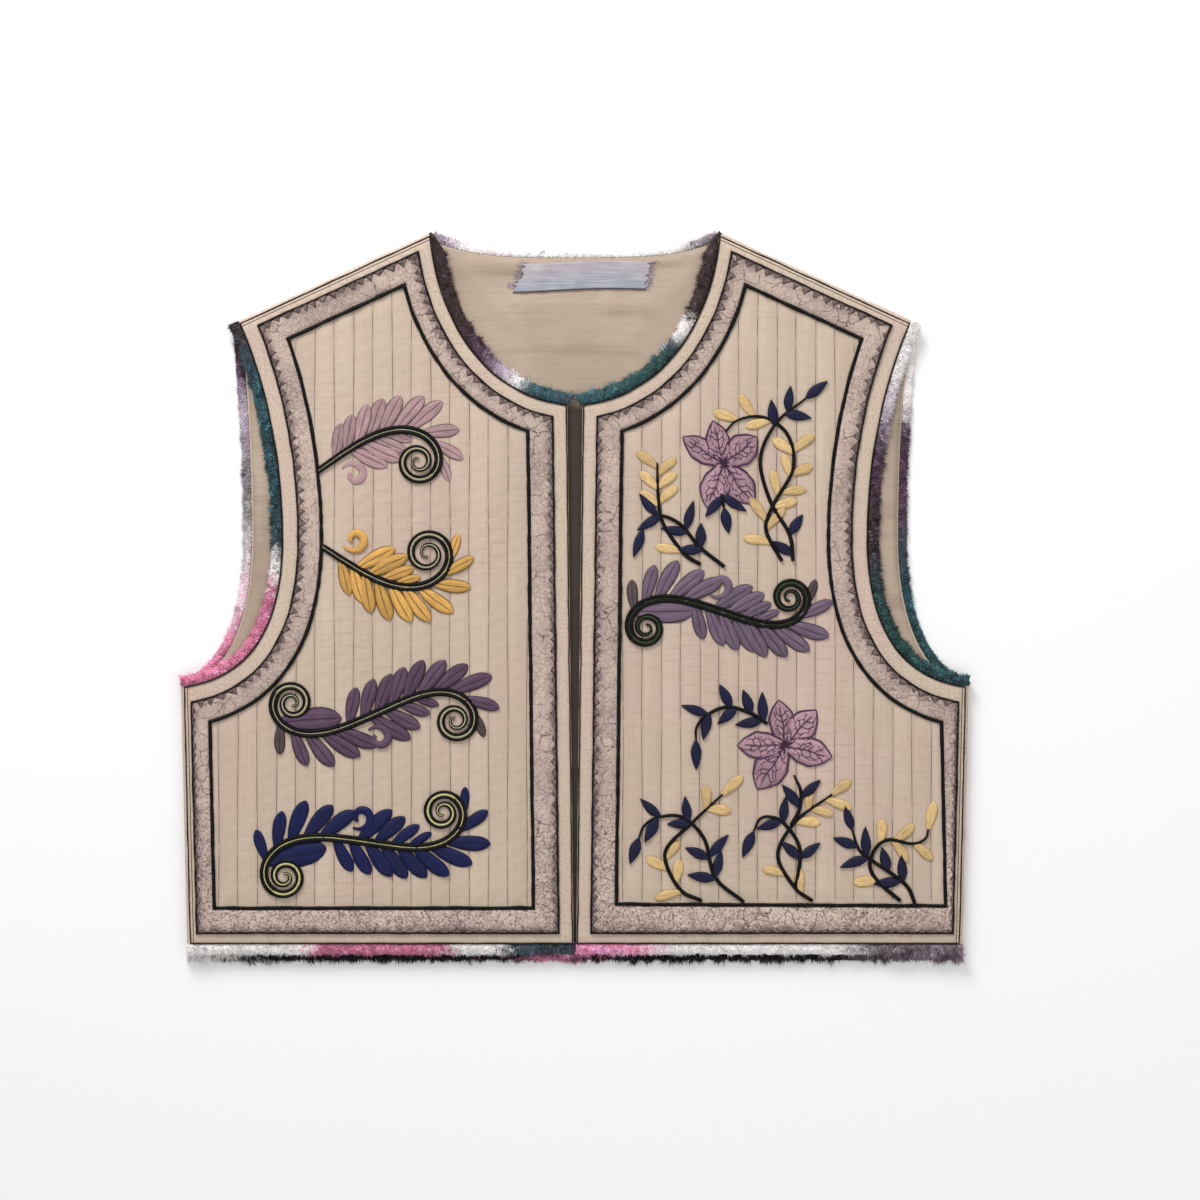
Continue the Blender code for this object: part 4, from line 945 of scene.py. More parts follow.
# Insets of the thin cord by the front's edge, which rides over the roll at the side and shoulder
EDGE_INSET = {"side": -0.0020, "shoulder": -0.0022, "front": 0.0007, "neck": 0.0004, "armhole": 0.0004}


def roll_drop(points):
    """How far the rolled edge has fallen away beneath points outside the cut."""
    cut = ring(CUT)
    outside = distance_to_ring(points, cut) * ~within(points, cut)
    return FOLD_RADIUS - np.sqrt(FOLD_RADIUS**2 - np.minimum(outside, 0.9 * FOLD_RADIUS) ** 2)


def loop_cord(name, node, side, material, width, high, middle, seed, dye="black", drop=0.0):
    """A sewn cord that follows the border all round, a little uneven as cord is."""
    sizes = 1 + 0.16 * soft_noise(middle, 0.011, seed)
    waver = 0.00018 * soft_noise(middle, 0.024, seed + 1)
    closed = np.vstack([middle[-1:], middle, middle[:1]])
    normals = left_normals(closed)[1:-1]
    base = front_height(middle, side) + GAP / 2 - drop
    rings = []
    for k in range(CORD_SIDES):
        turn = 2 * math.pi * (k + 0.5) / CORD_SIDES
        out = 0.5 * width * math.cos(turn) * sizes + waver
        up = high * (0.5 + 0.5 * math.sin(turn)) * sizes
        rings.append(with_height(middle + normals * out[:, None], base + up))
    vertices, faces = ring_wall(rings)
    uv = grid_uv(lengths_along(middle), np.arange(CORD_SIDES) / CORD_SIDES)
    colours = np.tile(linear(dye), (len(vertices), 1))
    made = piece(name, vertices, faces, material, uv, colours, side)
    if node:
        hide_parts(node)
    return made


# The cut points' height on each edge, as a share of that at the neck and shoulder
TOOTH_SIZES = {"hem": 0.45, "side": 0.45, "front": 0.72, "armhole": 0.92}


def cut_points(front, side, material):
    """The row of dark cut points that edges the band along its outer cord."""
    rng = np.random.default_rng(5 + side)
    gathered = Joined()
    loop = border_loop(0.0, OUTER_CORD * 0.3, side)
    for name, path in loop.items():
        normals = left_normals(path)
        along = lengths_along(path)
        at = 0.003
        while at < along[-1] - 0.004:
            wide = rng.uniform(0.0048, 0.0078)
            tall = rng.uniform(0.0034, 0.0054) * TOOTH_SIZES.get(name, 1.0)
            lean = rng.uniform(0.25, 0.75)
            corners = []
            for distance, inward in ((at, 0.0), (at + wide * lean, tall), (at + wide, 0.0)):
                corners.append(read_at(distance, along, path) + read_at(distance, along, normals) * inward)
            corners = np.array(corners)
            middle = corners.mean(0)
            flat = np.vstack([corners, corners * 0.55 + middle * 0.45, corners])
            base = front_height(flat, side) + GAP + BAND_WALL
            lift = np.array([0.00025] * 3 + [0.00055] * 3 + [-0.0008] * 3)
            faces = [(3, 4, 5)]
            for k in range(3):
                j = (k + 1) % 3
                faces += [(k, j, 3 + j, 3 + k), (6 + k, 6 + j, j, k)]
            faces.append((8, 7, 6))
            flips = [f[::-1] for f in faces]
            uv = [(0, 0)] * 3 + [(1, 0)] * 3 + [(0, 0)] * 3
            gathered.add(with_height(flat, base + lift), flips, uv, linear("black"))
            at += wide + rng.uniform(-0.0002, 0.0012)
    return gathered.made(f"cut_points_{front}", material, "border_band", side, smooth=False)


def back_sheet(material):
    """The back: a flat wall that rolls forward round the sides and shoulders to meet the fronts."""
    edges = back_edges()
    outline = ring(edges)
    points, triangles, places = triangulated(outline, np.empty((0, 2)))
    count = len(points)
    vertices = [(*p, 0.0) for p in points] + [(*p, BACK_WALL) for p in points]
    faces = sheet_faces(triangles, count)
    first = 0
    for name, path in edges.items():
        indices = [places[(first + k) % len(places)] for k in range(len(path))]
        first += len(path) - 1
        if not name.startswith(("side", "shoulder")):
            faces += [(a, b, count + b, count + a) for a, b in zip(indices[:-1], indices[1:])]
            continue
        outward = -left_normals(path)
        dents = 1 + 0.06 * soft_noise(path, 0.035, 71)
        inner_radius = FOLD_RADIUS - BACK_WALL
        turns = [(FOLD_RADIUS, math.pi * k / FOLD_STEPS) for k in range(1, FOLD_STEPS + 1)]
        turns += [(inner_radius, math.pi * k / FOLD_STEPS) for k in range(FOLD_STEPS, 0, -1)]
        sections = []
        for k, index in enumerate(indices):
            section = [index]
            for radius, turn in turns:
                bulge = dents[k] if 0 < k < len(indices) - 1 else 1.0
                place = path[k] + outward[k] * radius * math.sin(turn) * bulge
                section.append(len(vertices))
                vertices.append((*place, FOLD_RADIUS - radius * math.cos(turn)))
            section.append(count + index)
            sections.append(section)
        faces += [tuple(sections[0])[::-1], tuple(sections[-1])]
        for before, after in zip(sections[:-1], sections[1:]):
            faces += [(before[k], after[k], after[k + 1], before[k + 1]) for k in range(len(before) - 1)]
    vertices = np.array(vertices)
    uv = np.stack([seam_share(vertices[:, :2]), vertices[:, 1]], axis=1)
    quilted = np.tile(vertices[:, 2:] < BACK_WALL / 2, (1, 3))
    made = piece("back_sheet", vertices, faces, material, uv, quilted)
    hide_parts("back")
    tidy_normals(made, 40)
    return made


def tidy_normals(made, degrees):
    """Turns every face of a closed piece outwards, and rounds only its gentle edges."""
    bpy.ops.object.select_all(action="DESELECT")
    made.select_set(True)
    bpy.context.view_layer.objects.active = made
    bpy.ops.object.mode_set(mode="EDIT")
    bpy.ops.mesh.select_all(action="SELECT")
    bpy.ops.mesh.normals_make_consistent(inside=False)
    bpy.ops.object.mode_set(mode="OBJECT")
    bpy.ops.object.shade_smooth_by_angle(angle=math.radians(degrees))


# Creases of the lining where it shows in the neck: ends, height and width of each
Crease = namedtuple("Crease", "start end high wide")
CREASES = (
    Crease((-0.034, 0.414), (-0.030, 0.362), 0.0011, 0.0050),
    Crease((-0.012, 0.415), (-0.004, 0.352), 0.0007, 0.0040),
    Crease((0.020, 0.414), (0.026, 0.372), 0.0009, 0.0055),
    Crease((0.044, 0.412), (0.036, 0.380), 0.0007, 0.0035),
    Crease((-0.070, 0.428), (-0.040, 0.396), 0.0010, 0.0060),
    Crease((0.074, 0.430), (0.050, 0.402), 0.0008, 0.0050),
    Crease((-0.050, 0.405), (0.012, 0.398), 0.0006, 0.0070),
    Crease((-0.076, 0.4335), (-0.036, 0.4325), 0.0013, 0.0030),
    Crease((-0.038, 0.4095), (0.048, 0.4085), 0.0013, 0.0036),
    Crease((0.196, 0.330), (0.201, 0.240), 0.0009, 0.0030),
    Crease((-0.197, 0.345), (-0.202, 0.255), 0.0009, 0.0030),
)


def lining_height(points):
    """The lining's upper face: flat under the fronts, softly creased where it shows."""
    high = np.full(len(points), LINING_LOW + LINING_WALL)
    for crease in CREASES:
        away = distance_to(points, smooth_through([crease.start, crease.end], 4))
        high += crease.high * np.exp(-((away / crease.wide) ** 2))
    return high


def lining_sheet(material):
    """The back's lining, with the creases that show through the neck and the armholes."""
    tucked = {name: 0.006 if name.startswith(("side", "shoulder")) else 0.0012 for name in back_edges()}
    outline = ring(offset_loop(back_edges(), tucked))
    points, triangles, places = triangulated(outline, grid_within(outline, CLOTH_GRID, CLOTH_GRID, 0.002))
    count = len(points)
    covered = np.zeros(count, bool)
    for side in (-1, 1):
        covered |= within(points * (side, 1), ring(CUT))
    hidden = LINING_LOW + LINING_WALL
    top = with_height(points, np.where(covered, hidden, lining_height(points)))
    vertices = np.vstack([with_height(points, LINING_LOW), top])
    faces = sheet_faces(triangles, count)
    for a, b in zip(places, places[1:] + places[:1]):
        faces.append((a, b, count + b, count + a))
    made = piece("lining_sheet", vertices, faces, material)
    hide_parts("back_lining")
    return made


def neck_label(material, thread_finish):
    """A worn tape sewn at the back of the neck, with torn ends and loose threads."""
    rng = np.random.default_rng(8)
    columns, rows = LABEL_GRID
    v = np.linspace(0, 1, rows)
    torn = {-1: rng.normal(0, 0.0016, rows), 1: rng.normal(0, 0.0016, rows)}
    shear = {-1: 0.0035 * (v - 0.5), 1: 0.0045 * (v - 0.5)}
    flat = []
    for i, share in enumerate(v):
        left = -LABEL_SIZE[0] / 2 + torn[-1][i] + shear[-1][i]
        right = LABEL_SIZE[0] / 2 + torn[1][i] + shear[1][i]
        x = np.linspace(left, right, columns)
        y = (share - 0.5) * LABEL_SIZE[1] + 0.0008 * np.sin(x * 55 + 1) + 0.0012 * (x / LABEL_SIZE[0])
        flat.append(np.stack([x, y], axis=1) + LABEL_CENTRE)
    flat = np.vstack(flat)
    base = lining_height(flat) + GAP
    wavy = 0.0004 * soft_noise(flat, 0.014, 3)
    upper = with_height(flat, base + 0.0008 + np.maximum(wavy, -0.0003))
    lower = with_height(flat, base)
    count = len(flat)
    faces = []
    for i in range(rows - 1):
        for j in range(columns - 1):
            a = i * columns + j
            quad = (a, a + 1, a + columns + 1, a + columns)
            faces += [quad, tuple(count + k for k in quad)[::-1]]
    border = list(range(columns)) + [i * columns + columns - 1 for i in range(1, rows)]
    border += [(rows - 1) * columns + j for j in range(columns - 2, -1, -1)]
    border += [i * columns for i in range(rows - 2, 0, -1)]
    for a, b in zip(border, border[1:] + border[:1]):
        faces.append((a, count + a, count + b, b))
    uv = grid_uv(np.linspace(0, 1, columns), v)
    made = piece("label_tape", np.vstack([upper, lower]), faces, material, np.vstack([uv, uv]))
    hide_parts("neck_label")
    threads = Joined()
    for end in (-1, 1):
        for _ in range(LABEL_THREADS):
            share = rng.uniform(0.02, 0.98)
            start = np.array([
                end * LABEL_SIZE[0] / 2 + np.interp(share, v, torn[end] + shear[end]) - end * 0.002,
                (share - 0.5) * LABEL_SIZE[1],
            ]) + LABEL_CENTRE
            length = rng.uniform(0.003, 0.0075)
            turn = (0 if end > 0 else math.pi) + rng.normal(0, 0.35)
            reach = np.linspace(0, length, 4)[:, None]
            bend = rng.normal(0, 0.12, 1)
            path = start + reach * (math.cos(turn), math.sin(turn)) + reach**2 * 60 * bend * (0, 1)
            add_strand(threads, path, lining_height(path) + 0.0007, np.full(4, 0.00012), 4,
                       linear("pile_lavender") * rng.uniform(0.5, 1.25), 0.0)
    threads.made("label_threads", thread_finish, "label_tape")
    return made


# Embroidery


def walk(start, heading, bends):
    points = [np.array(start, float)]
    for stride, bend in bends:
        heading += bend / 2
        points.append(points[-1] + stride * np.array([math.cos(heading), math.sin(heading)]))
        heading += bend / 2
    return np.array(points)


def spiral_centre(points, end):
    inmost = points[:TURN_STEPS] if end == 0 else points[-TURN_STEPS:]
    return inmost.mean(0)


def scroll(plume):
    """A plume's stem with its half widths, and where its middle stretch starts and stops."""
    arc = 2 * math.pi / TURN_STEPS
    turns = np.arange(round(SPIRAL_TURNS * TURN_STEPS)) / TURN_STEPS
    span = np.array(plume.end) - np.array(plume.start)
    way = np.linalg.norm(span)
    outmost = plume.radius * way
    radii = outmost - (outmost - SPIRAL_CENTRE) * turns / SPIRAL_TURNS
    step = plume.middle * way / MIDDLE_STEPS
    bends, widths = [], []
    if plume.two_ended:
        bends += [(arc * r, -plume.turn * arc) for r in radii[::-1]]
        widths += [STEM_TO_RADIUS * r for r in radii[::-1]]
    first = len(bends)
    for k in range(MIDDLE_STEPS):
        t = (k + 0.5) / MIDDLE_STEPS
        if not plume.two_ended:
            share = t**1.9
        elif t < SWAY:
            share = -((SWAY - t) / SWAY) ** 2.1
        else:
            share = ((t - SWAY) / (1 - SWAY)) ** 1.5
        bends.append((step, plume.turn * share * step / outmost))
        widths.append(PLUME_STEM if plume.two_ended else PLUME_STEM * min(1.0, 0.72 + 0.6 * t))
    last = len(bends)
    bends += [(arc * r, plume.turn * arc) for r in radii]
    widths += [STEM_TO_RADIUS * r for r in radii] + [STEM_TO_RADIUS * radii[-1]]
    points = walk((0.0, 0.0), 0.0, bends)
    have = spiral_centre(points, -1) - (spiral_centre(points, 0) if plume.two_ended else points[0])
    size = way / np.linalg.norm(have)
    turn = math.atan2(span[1], span[0]) - math.atan2(have[1], have[0])
    spin = np.array([[math.cos(turn), -math.sin(turn)], [math.sin(turn), math.cos(turn)]])
    points = points @ spin.T * size
    points += np.array(plume.end) - spiral_centre(points, -1)
    along = lengths_along(points)
    widths = np.clip(widths, THINNEST_STEM, PLUME_STEM)
    return points, widths, along[first] / along[-1], along[last] / along[-1]


def hook_of(plume, path, first, middle):
    """The small hook beside a plume's stem: its path and half widths."""
    base, heading = place_on(path, first + plume.hook * middle)
    arc = 2 * math.pi / HOOK_STEPS
    sideways = plume.turn * np.array([-math.sin(heading), math.cos(heading)])
    radii = HOOK_RADIUS * np.interp(range(HOOK_STEPS), (0, 6, HOOK_STEPS - 1), (1.25, 0.85, 0.40))
    bends = [(arc * r, plume.turn * arc) for r in radii]
    hook = walk(base + HOOK_AWAY * sideways, heading - plume.turn * HOOK_TURN, bends)
    sizes = np.interp(range(len(hook)), (0, 6, 12, len(hook) - 1), (0.25, 0.95, 1.05, 0.45)) * HOOK_STEM
    return hook, sizes


def place_on(path, share):
    """A path's point at a share of its length, and its heading there."""
    along = lengths_along(path)
    at = share * along[-1]
    k = min(max(int(np.searchsorted(along, at)), 1), len(path) - 1)
    step = path[k] - path[k - 1]
    return read_at(at, along, path), math.atan2(step[1], step[0])


# Half width along each shape: its share at the base, where it is widest, and the fullness of its tip
Shape = namedtuple("Shape", "base widest power blunt")
SHAPES = {
    "leaf": Shape(0.10, 0.42, 1.7, 0.95),
    "lobe": Shape(0.42, 0.62, 2.4, 0.66),
    "petal": Shape(0.26, 0.54, 2.0, 1.0),
}


def half_width(shape, u):
    """A leaf's half width along it, as a share of its greatest."""
    base, widest, power, blunt = SHAPES[shape]
    opening = base + (1 - base) * np.sin(np.pi / 2 * np.clip(u / widest, 0, 1))
    closing = np.clip((u - widest) / (1 - widest), 0, 1)
    return opening * (1 - closing**power) ** blunt


def leaf_patch(shape, rows, columns):
    """One leaf of length and half width 1, modelled once: places along and across, heights from 0 to
    1, and faces of a closed thin shell, whose upper side is its first rows times columns points."""
    u = 0.5 - 0.5 * np.cos(np.linspace(0, np.pi, rows))
    v = np.sin(np.linspace(-np.pi / 2, np.pi / 2, columns))
    along, across = np.repeat(u, columns), np.tile(v, rows)
    swell = 0.35 + 0.65 * np.sin(np.pi * np.clip(along * 0.92 + 0.06, 0, 1)) ** 0.6
    body = (1 - np.abs(across) ** 2.6) * swell
    groove = 0.34 * np.exp(-((across / 0.13) ** 2)) * swell * np.clip(4 * (1 - along), 0, 1)
    high = 0.22 + 0.78 * body - groove * (0.6 if shape == "petal" else 1.0)
    count = rows * columns
    faces = []
    for i in range(rows - 1):
        for j in range(columns - 1):
            a = i * columns + j
            faces.append((a, a + columns, a + columns + 1, a + 1))
    left = [count + i for i in range(rows)]
    right = [count + rows + i for i in range(rows)]
    for i in range(rows - 1):
        a, b = i * columns, (i + 1) * columns
        faces.append((a, left[i], left[i + 1], b))
        faces.append((a + columns - 1, b + columns - 1, right[i + 1], right[i]))
        faces.append((left[i], right[i], right[i + 1], left[i + 1]))
    faces.append(tuple(range(columns)) + (right[0], left[0]))
    last = (rows - 1) * columns
    faces.append(tuple(last + j for j in range(columns - 1, -1, -1)) + (left[-1], right[-1]))
    along = np.concatenate([along, u, u])
    across = np.concatenate([across, -np.ones(rows), np.ones(rows)])
    high = np.concatenate([high, np.full(2 * rows, -0.25)])
    return along, across, high, faces


PATCHES = {shape: leaf_patch(shape, *size) for shape, size in
           {"lobe": (12, 11), "leaf": (11, 9), "petal": (14, 13)}.items()}
Leaf = namedtuple("Leaf", "base angle length width shape high bend colour level")


def on_leaf(leaf, along, across):
    """Places in the plane for shares along the leaf and across its half width."""
    forward = np.array([math.cos(leaf.angle), math.sin(leaf.angle)])
    left = np.array([-forward[1], forward[0]])
    sideways = across * half_width(leaf.shape, along) * leaf.width / 2 + leaf.bend * leaf.length * along**2
    return leaf.base + np.outer(along * leaf.length, forward) + np.outer(sideways, left)


def add_leaf(gathered, leaf, side, rng):
    """Lays a copy of the modelled leaf on the front. Its points are on the front's own side."""
    along, across, high, faces = PATCHES[leaf.shape]
    folded = on_leaf(leaf, along, across) * (side, 1)
    height = front_height(folded, side) + leaf.level + leaf.high * high
    if side < 0:
        faces = [f[::-1] for f in faces]
    dye = linear(leaf.colour) * rng.uniform(0.86, 1.14)
    uv = np.stack([along + rng.uniform(0, 40), across], axis=1)
    gathered.add(with_height(folded, height), faces, uv, dye)


def add_strand(gathered, path, heights, radii, sides, colour, flatten):
    """A round thread or cord along a path in the plane, with a radius at each point."""
    normals = left_normals(path)
    along = lengths_along(path)
    rows = []
    for k in range(len(path)):
        for j in range(sides):
            turn = 2 * math.pi * j / sides
            out = radii[k] * math.cos(turn)
            up = radii[k] * math.sin(turn) * (1 - flatten)
            place = path[k] + normals[k] * out
            rows.append((place[0], place[1], heights[k] + up))
    uv = np.stack([np.repeat(along, sides), np.tile(np.arange(sides) / sides, len(path))], axis=1)
    gathered.add(rows, strip_faces(len(path), sides), uv, colour)


def on_front(gathered, path, side, up, radii, sides, colour, flatten=0.0):
    """A strand that lies on a front, along a path on the front's own side."""
    folded = path * (side, 1)
    add_strand(gathered, folded, front_height(folded, side) + up, radii, sides, colour, flatten)


def shared_out(t, values):
    """Values spaced evenly from 0 to 1, read at t."""
    return np.interp(t, np.linspace(0, 1, len(values)), values)


def plume_pieces(plume, side, meshes, rng):
    """One plume: its lobes, its doubled stem with a paler core, and the hook beside it."""
    path, widths, first, last = scroll(plume)
    middle = last - first
    bold = plume.colour != "rose"
    high = BOLD_LOBE_HIGH if bold else SOFT_LOBE_HIGH
    order = 0
    for row in TWO_ENDED_ROWS if plume.two_ended else ONE_ENDED_ROWS:
        turn = -plume.turn if row.outer else plume.turn
        for k in range(row.count):
            t = k / (row.count - 1)
            share = min(first + (row.first + (row.last - row.first) * t) * middle, 0.97)
            base, heading = place_on(path, share)
            spread = math.radians(shared_out(t, row.spread))
            size = shared_out(t, row.sizes)
            angle = heading + turn * spread + rng.normal(0, 0.035)
            length = LOBE_LENGTH * size * rng.uniform(0.96, 1.04)
            width = LOBE_WIDTH * min(1.0, size) ** 1.2
            end = row.count - 1 if row.outer else 0
            dusky = plume.two_ended and plume.colour != "navy" and k == end and size < SMALL_LOBE
            leaf = Leaf(base, angle, length, width, "lobe", high, -turn * LOBE_BEND,
                        "dusk" if dusky else plume.colour, LOBE_LEVEL * (order % 3))
            add_leaf(meshes["lobes"], leaf, side, rng)
            order += 1
    if plume.two_ended:
        share = first + BIG_LOBE_AT * middle
        base = place_on(path, share)[0]
        step = place_on(path, share + BIG_LOBE_AIM * middle)[0] - base
        angle = math.atan2(step[1], step[0]) - plume.turn * BIG_LOBE_TURN
        big = Leaf(base, angle, *BIG_LOBE, "lobe", high, plume.turn * LOBE_BEND, plume.colour, 0.0)
        add_leaf(meshes["lobes"], big, side, rng)

    hook, sizes = hook_of(plume, path, first, middle)
    up, flatten = (0.0006, 0.25) if bold else (0.0001, 0.7)
    on_front(meshes["hooks"], hook, side, up, sizes, 10, linear(plume.colour), flatten)

    along = lengths_along(path)
    place = along / along[-1]
    wound = (place > last) | ((place < first) & plume.two_ended)
    thick, thin = widths * np.where(wound, 0.38, 0.45), widths * np.where(wound, 0.30, 0.16)
    for share in (-0.56, 0.56):
        aside = path + left_normals(path) * (widths * share)[:, None]
        on_front(meshes["couched_stems"], aside, side, 0.0012, thick, 10, linear("black"))
    on_front(meshes["stem_cores"], path, side, 0.0013, thin, 8, linear(plume.core))


def vine_pieces(vine, side, meshes, rng):
    """One vine of the left front: a black stem and leaves that grow towards its tip."""
    path = evenly(smooth_through(vine.points, 10), 0.0016)
    kinds = (
        ("leaf_gold", "lobe", GOLD_LEAF, vine.gold, meshes["gold_leaves"], 0.0),
        ("leaf_navy", "leaf", NAVY_LEAF, vine.navy, meshes["lobes"], NAVY_OVER_GOLD),
    )
    for colour, shape, (long, wide), places, leaves, over in kinds:
        for place in places:
            base, heading = place_on(path, abs(place))
            turn = 0.0 if place == 1.0 else math.copysign(1.0, place)
            angle = heading + turn * (VINE_SPREAD + rng.normal(0, 0.07))
            length = long * rng.uniform(0.88, 1.10)
            width = wide * rng.uniform(0.92, 1.08)
            bend = turn * rng.uniform(-0.04, 0.14)
            level = over + LEAF_LEVEL * (len(leaves.vertices) % 3)
            leaf = Leaf(base, angle, length, width, shape, LEAF_HIGH, bend, colour, level)
            add_leaf(leaves, leaf, side, rng)
    ends = np.interp(np.linspace(0, 1, len(path)), (0, 0.08, 0.7, 1.0), (1.0, 1.08, 0.95, 0.55))
    on_front(meshes["couched_stems"], path, side, 0.0009, VINE_STEM * ends, 8, linear("black"))


def petal_lines(degrees, rng):
    """A petal's outline, rib and forked veins, as shares along and across it, with their radii."""
    lines = []
    for edge in (-0.96, 0.96):
        u = np.linspace(0.10, 1.0, 30)
        lines.append((u, edge + 0.03 * np.sin(u * 23 + degrees), 0.00075))
    u = np.linspace(0.0, 0.84, 18)
    lines.append((u, 0.07 * np.sin(u * 9 + degrees), 0.00042))
    t = np.linspace(0, 1, 9)
    for k in range(4):
        for turn in (-1, 1):
            root = 0.22 + 0.15 * k + rng.uniform(-0.04, 0.04)
            reach = rng.uniform(0.52, 0.80)
            rise = rng.uniform(0.13, 0.22)
            wiggle = 0.05 * np.sin(t * 7 + rng.uniform(0, 6))
            lines.append((root + rise * t**1.2 + wiggle * t, turn * reach * t**0.9, 0.00032))
            fork = rng.uniform(0.40, 0.65)
            out = turn * reach * (fork**0.9 + 0.26 * t)
            lines.append((root + rise * fork**1.2 - 0.10 * t, out, 0.00025))
    return lines


def flower_pieces(flower, side, meshes, rng):
    """One flower: pointed petals with a dark outline, a rib and branching veins."""
    petals, veins = meshes["petals"], meshes["petal_veins"]
    for degrees, length, width in zip(flower.angles, flower.lengths, flower.widths):
        level = LEAF_LEVEL * (len(petals.vertices) % 3)
        leaf = Leaf(np.array(flower.centre), math.radians(degrees), length, width, "petal", PETAL_HIGH,
                    rng.uniform(-0.06, 0.06), "petal", level)
        add_leaf(petals, leaf, side, rng)
        for along, across, radius in petal_lines(degrees, rng):
            path = on_leaf(leaf, along, across)
            rise = leaf.level + leaf.high * (0.22 + 0.78 * (1 - np.abs(across) ** 2.6))
            taper = np.linspace(1.0, 0.7, len(along))
            on_front(veins, path, side, rise, radius * taper, 5, linear("plum"))
    for degrees in flower.angles:
        for lean in (-26, 0, 26):
            angle = math.radians(degrees + lean)
            reach = np.linspace(0.0004, rng.uniform(0.0035, 0.0065), 5)
            path = flower.centre + reach[:, None] * np.array((math.cos(angle), math.sin(angle)))
            on_front(veins, path, side, PETAL_HIGH, np.linspace(0.00060, 0.00030, 5), 5, linear("plum") * 0.5)


# The embroidery's meshes in the order that they are made, with the finish and the slot of each
EMBROIDERED = {
    "petals": ("petal", "quilted_cloth"),
    "petal_veins": ("cord", "black_cord"),
    "gold_leaves": ("soft", "quilted_cloth"),
    "lobes": ("lobe", "quilted_cloth"),
    "hooks": ("hook", "quilted_cloth"),
    "couched_stems": ("cord", "black_cord"),
    "stem_cores": ("cord", "black_cord"),
}


def embroidery(front, side, finishes):
    """All the embroidery of one front, in one mesh for each finish."""
    rng = np.random.default_rng(21 + side)
    meshes = {name: Joined() for name in EMBROIDERED}
    for plume in PLUMES:
        if plume.front == front:
            plume_pieces(plume, side, meshes, rng)
    if front == "left":
        for vine in VINES:
            vine_pieces(vine, side, meshes, rng)
        for flower in FLOWERS:
            flower_pieces(flower, side, meshes, rng)
    made = []
    for name, (finish, slot) in EMBROIDERED.items():
        if meshes[name].count:
            made.append(meshes[name].made(f"{name}_{front}", finishes[finish], slot, side))
    return made


# Pile edging

# Yarns of each strip of pile, from the start of its path to its end: each share of its length is
# followed by the yarn there
PILE_DYES = {
    "neck_pile_right": "0 brown 0.4 brown 0.58 plum 0.7 lavender 0.76 white 0.82 teal 0.92 teal 1 slate",
    "neck_pile_left": "0 brown 0.36 brown 0.44 white 0.52 slate 0.62 green 1 teal",
    "neck_pile_back": "0 ash 0.08 grey 0.16 white 0.86 white 0.95 lavender 1 grey",
    "armhole_pile_right": "0 rose 0.34 rose 0.4 white 0.46 slate 0.56 teal 0.84 teal 0.92 slate 1 brown",
    "armhole_pile_left": "0 teal 0.3 green 0.38 slate 0.46 brown 0.68 plum 0.78 lavender 0.88 white 1 white",
    "armhole_pile_back_right": (
        "0 rose 0.16 rose 0.3 pale_pink 0.4 pale 0.58 grey 0.78 lavender 0.86 plum "
        "0.93 brown 1 brown"
    ),
    "armhole_pile_back_left": "0 green 0.3 teal 0.42 slate 0.52 plum 0.72 plum 0.8 white 1 white",
    "hem_pile_right": "0 slate 0.16 slate 0.2 white 0.3 white 0.34 rose 0.66 rose 0.7 white 1 white",
    "hem_pile_left": "0 pink 0.14 pink 0.26 white 0.68 white 0.76 grey 0.82 ash 1 ash",
    "hem_pile_back": (
        "0 white 0.05 white 0.08 black 0.42 black 0.45 rose 0.5 rose 0.52 black "
        "0.84 black 0.9 ash 1 ash"
    ),
}

# The core's section: shares of the pile's reach and of its height
PILE_PROFILE = ((0.0, 0.12), (0.30, 0.06), (0.74, 0.12), (0.84, 0.36), (0.74, 0.60), (0.42, 0.72),
                (0.0, 0.60))

Strip = namedtuple("Strip", "path along outward full lift low tall reach on_back stops dyes")


def pile_path(edge, before, after):
    seams = back_edges()
    path = edge
    if before:
        path = np.vstack([path[0] - left_normals(seams[before])[0] * FOLD_RADIUS, path])
    if after:
        path = np.vstack([path, path[-1] - left_normals(seams[after])[0] * FOLD_RADIUS])
    return evenly(path)


def dye_at(strip, share):
    return read_at(share, strip.stops, strip.dyes)


def pile_core(gathered, strip):
    """The soft core under a strip's tufts, in its yarn's dye darkened as painted shade."""
    path, along = strip.path, strip.along
    bumps = strip.full * (1 + 0.12 * soft_noise(path, 0.006, 13))
    # Painted shade: the core is a darker share of its yarn's dye, as it lies under the tufts
    dye = dye_at(strip, along / along[-1]) * 0.8
    rows, colours, uv = [], [], []
    for k, point in enumerate(path):
        for across, high in PILE_PROFILE:
            place = point + strip.outward[k] * (GAP + across * bumps[k] * (strip.reach - GAP))
            rows.append((*place, strip.low + strip.lift[k] + high * strip.tall * bumps[k]))
            colours.append(dye[k])
            uv.append((along[k], across))
    faces = [f[::-1] for f in strip_faces(len(path), len(PILE_PROFILE))]
    gathered.add(rows, faces, uv, np.array(colours))


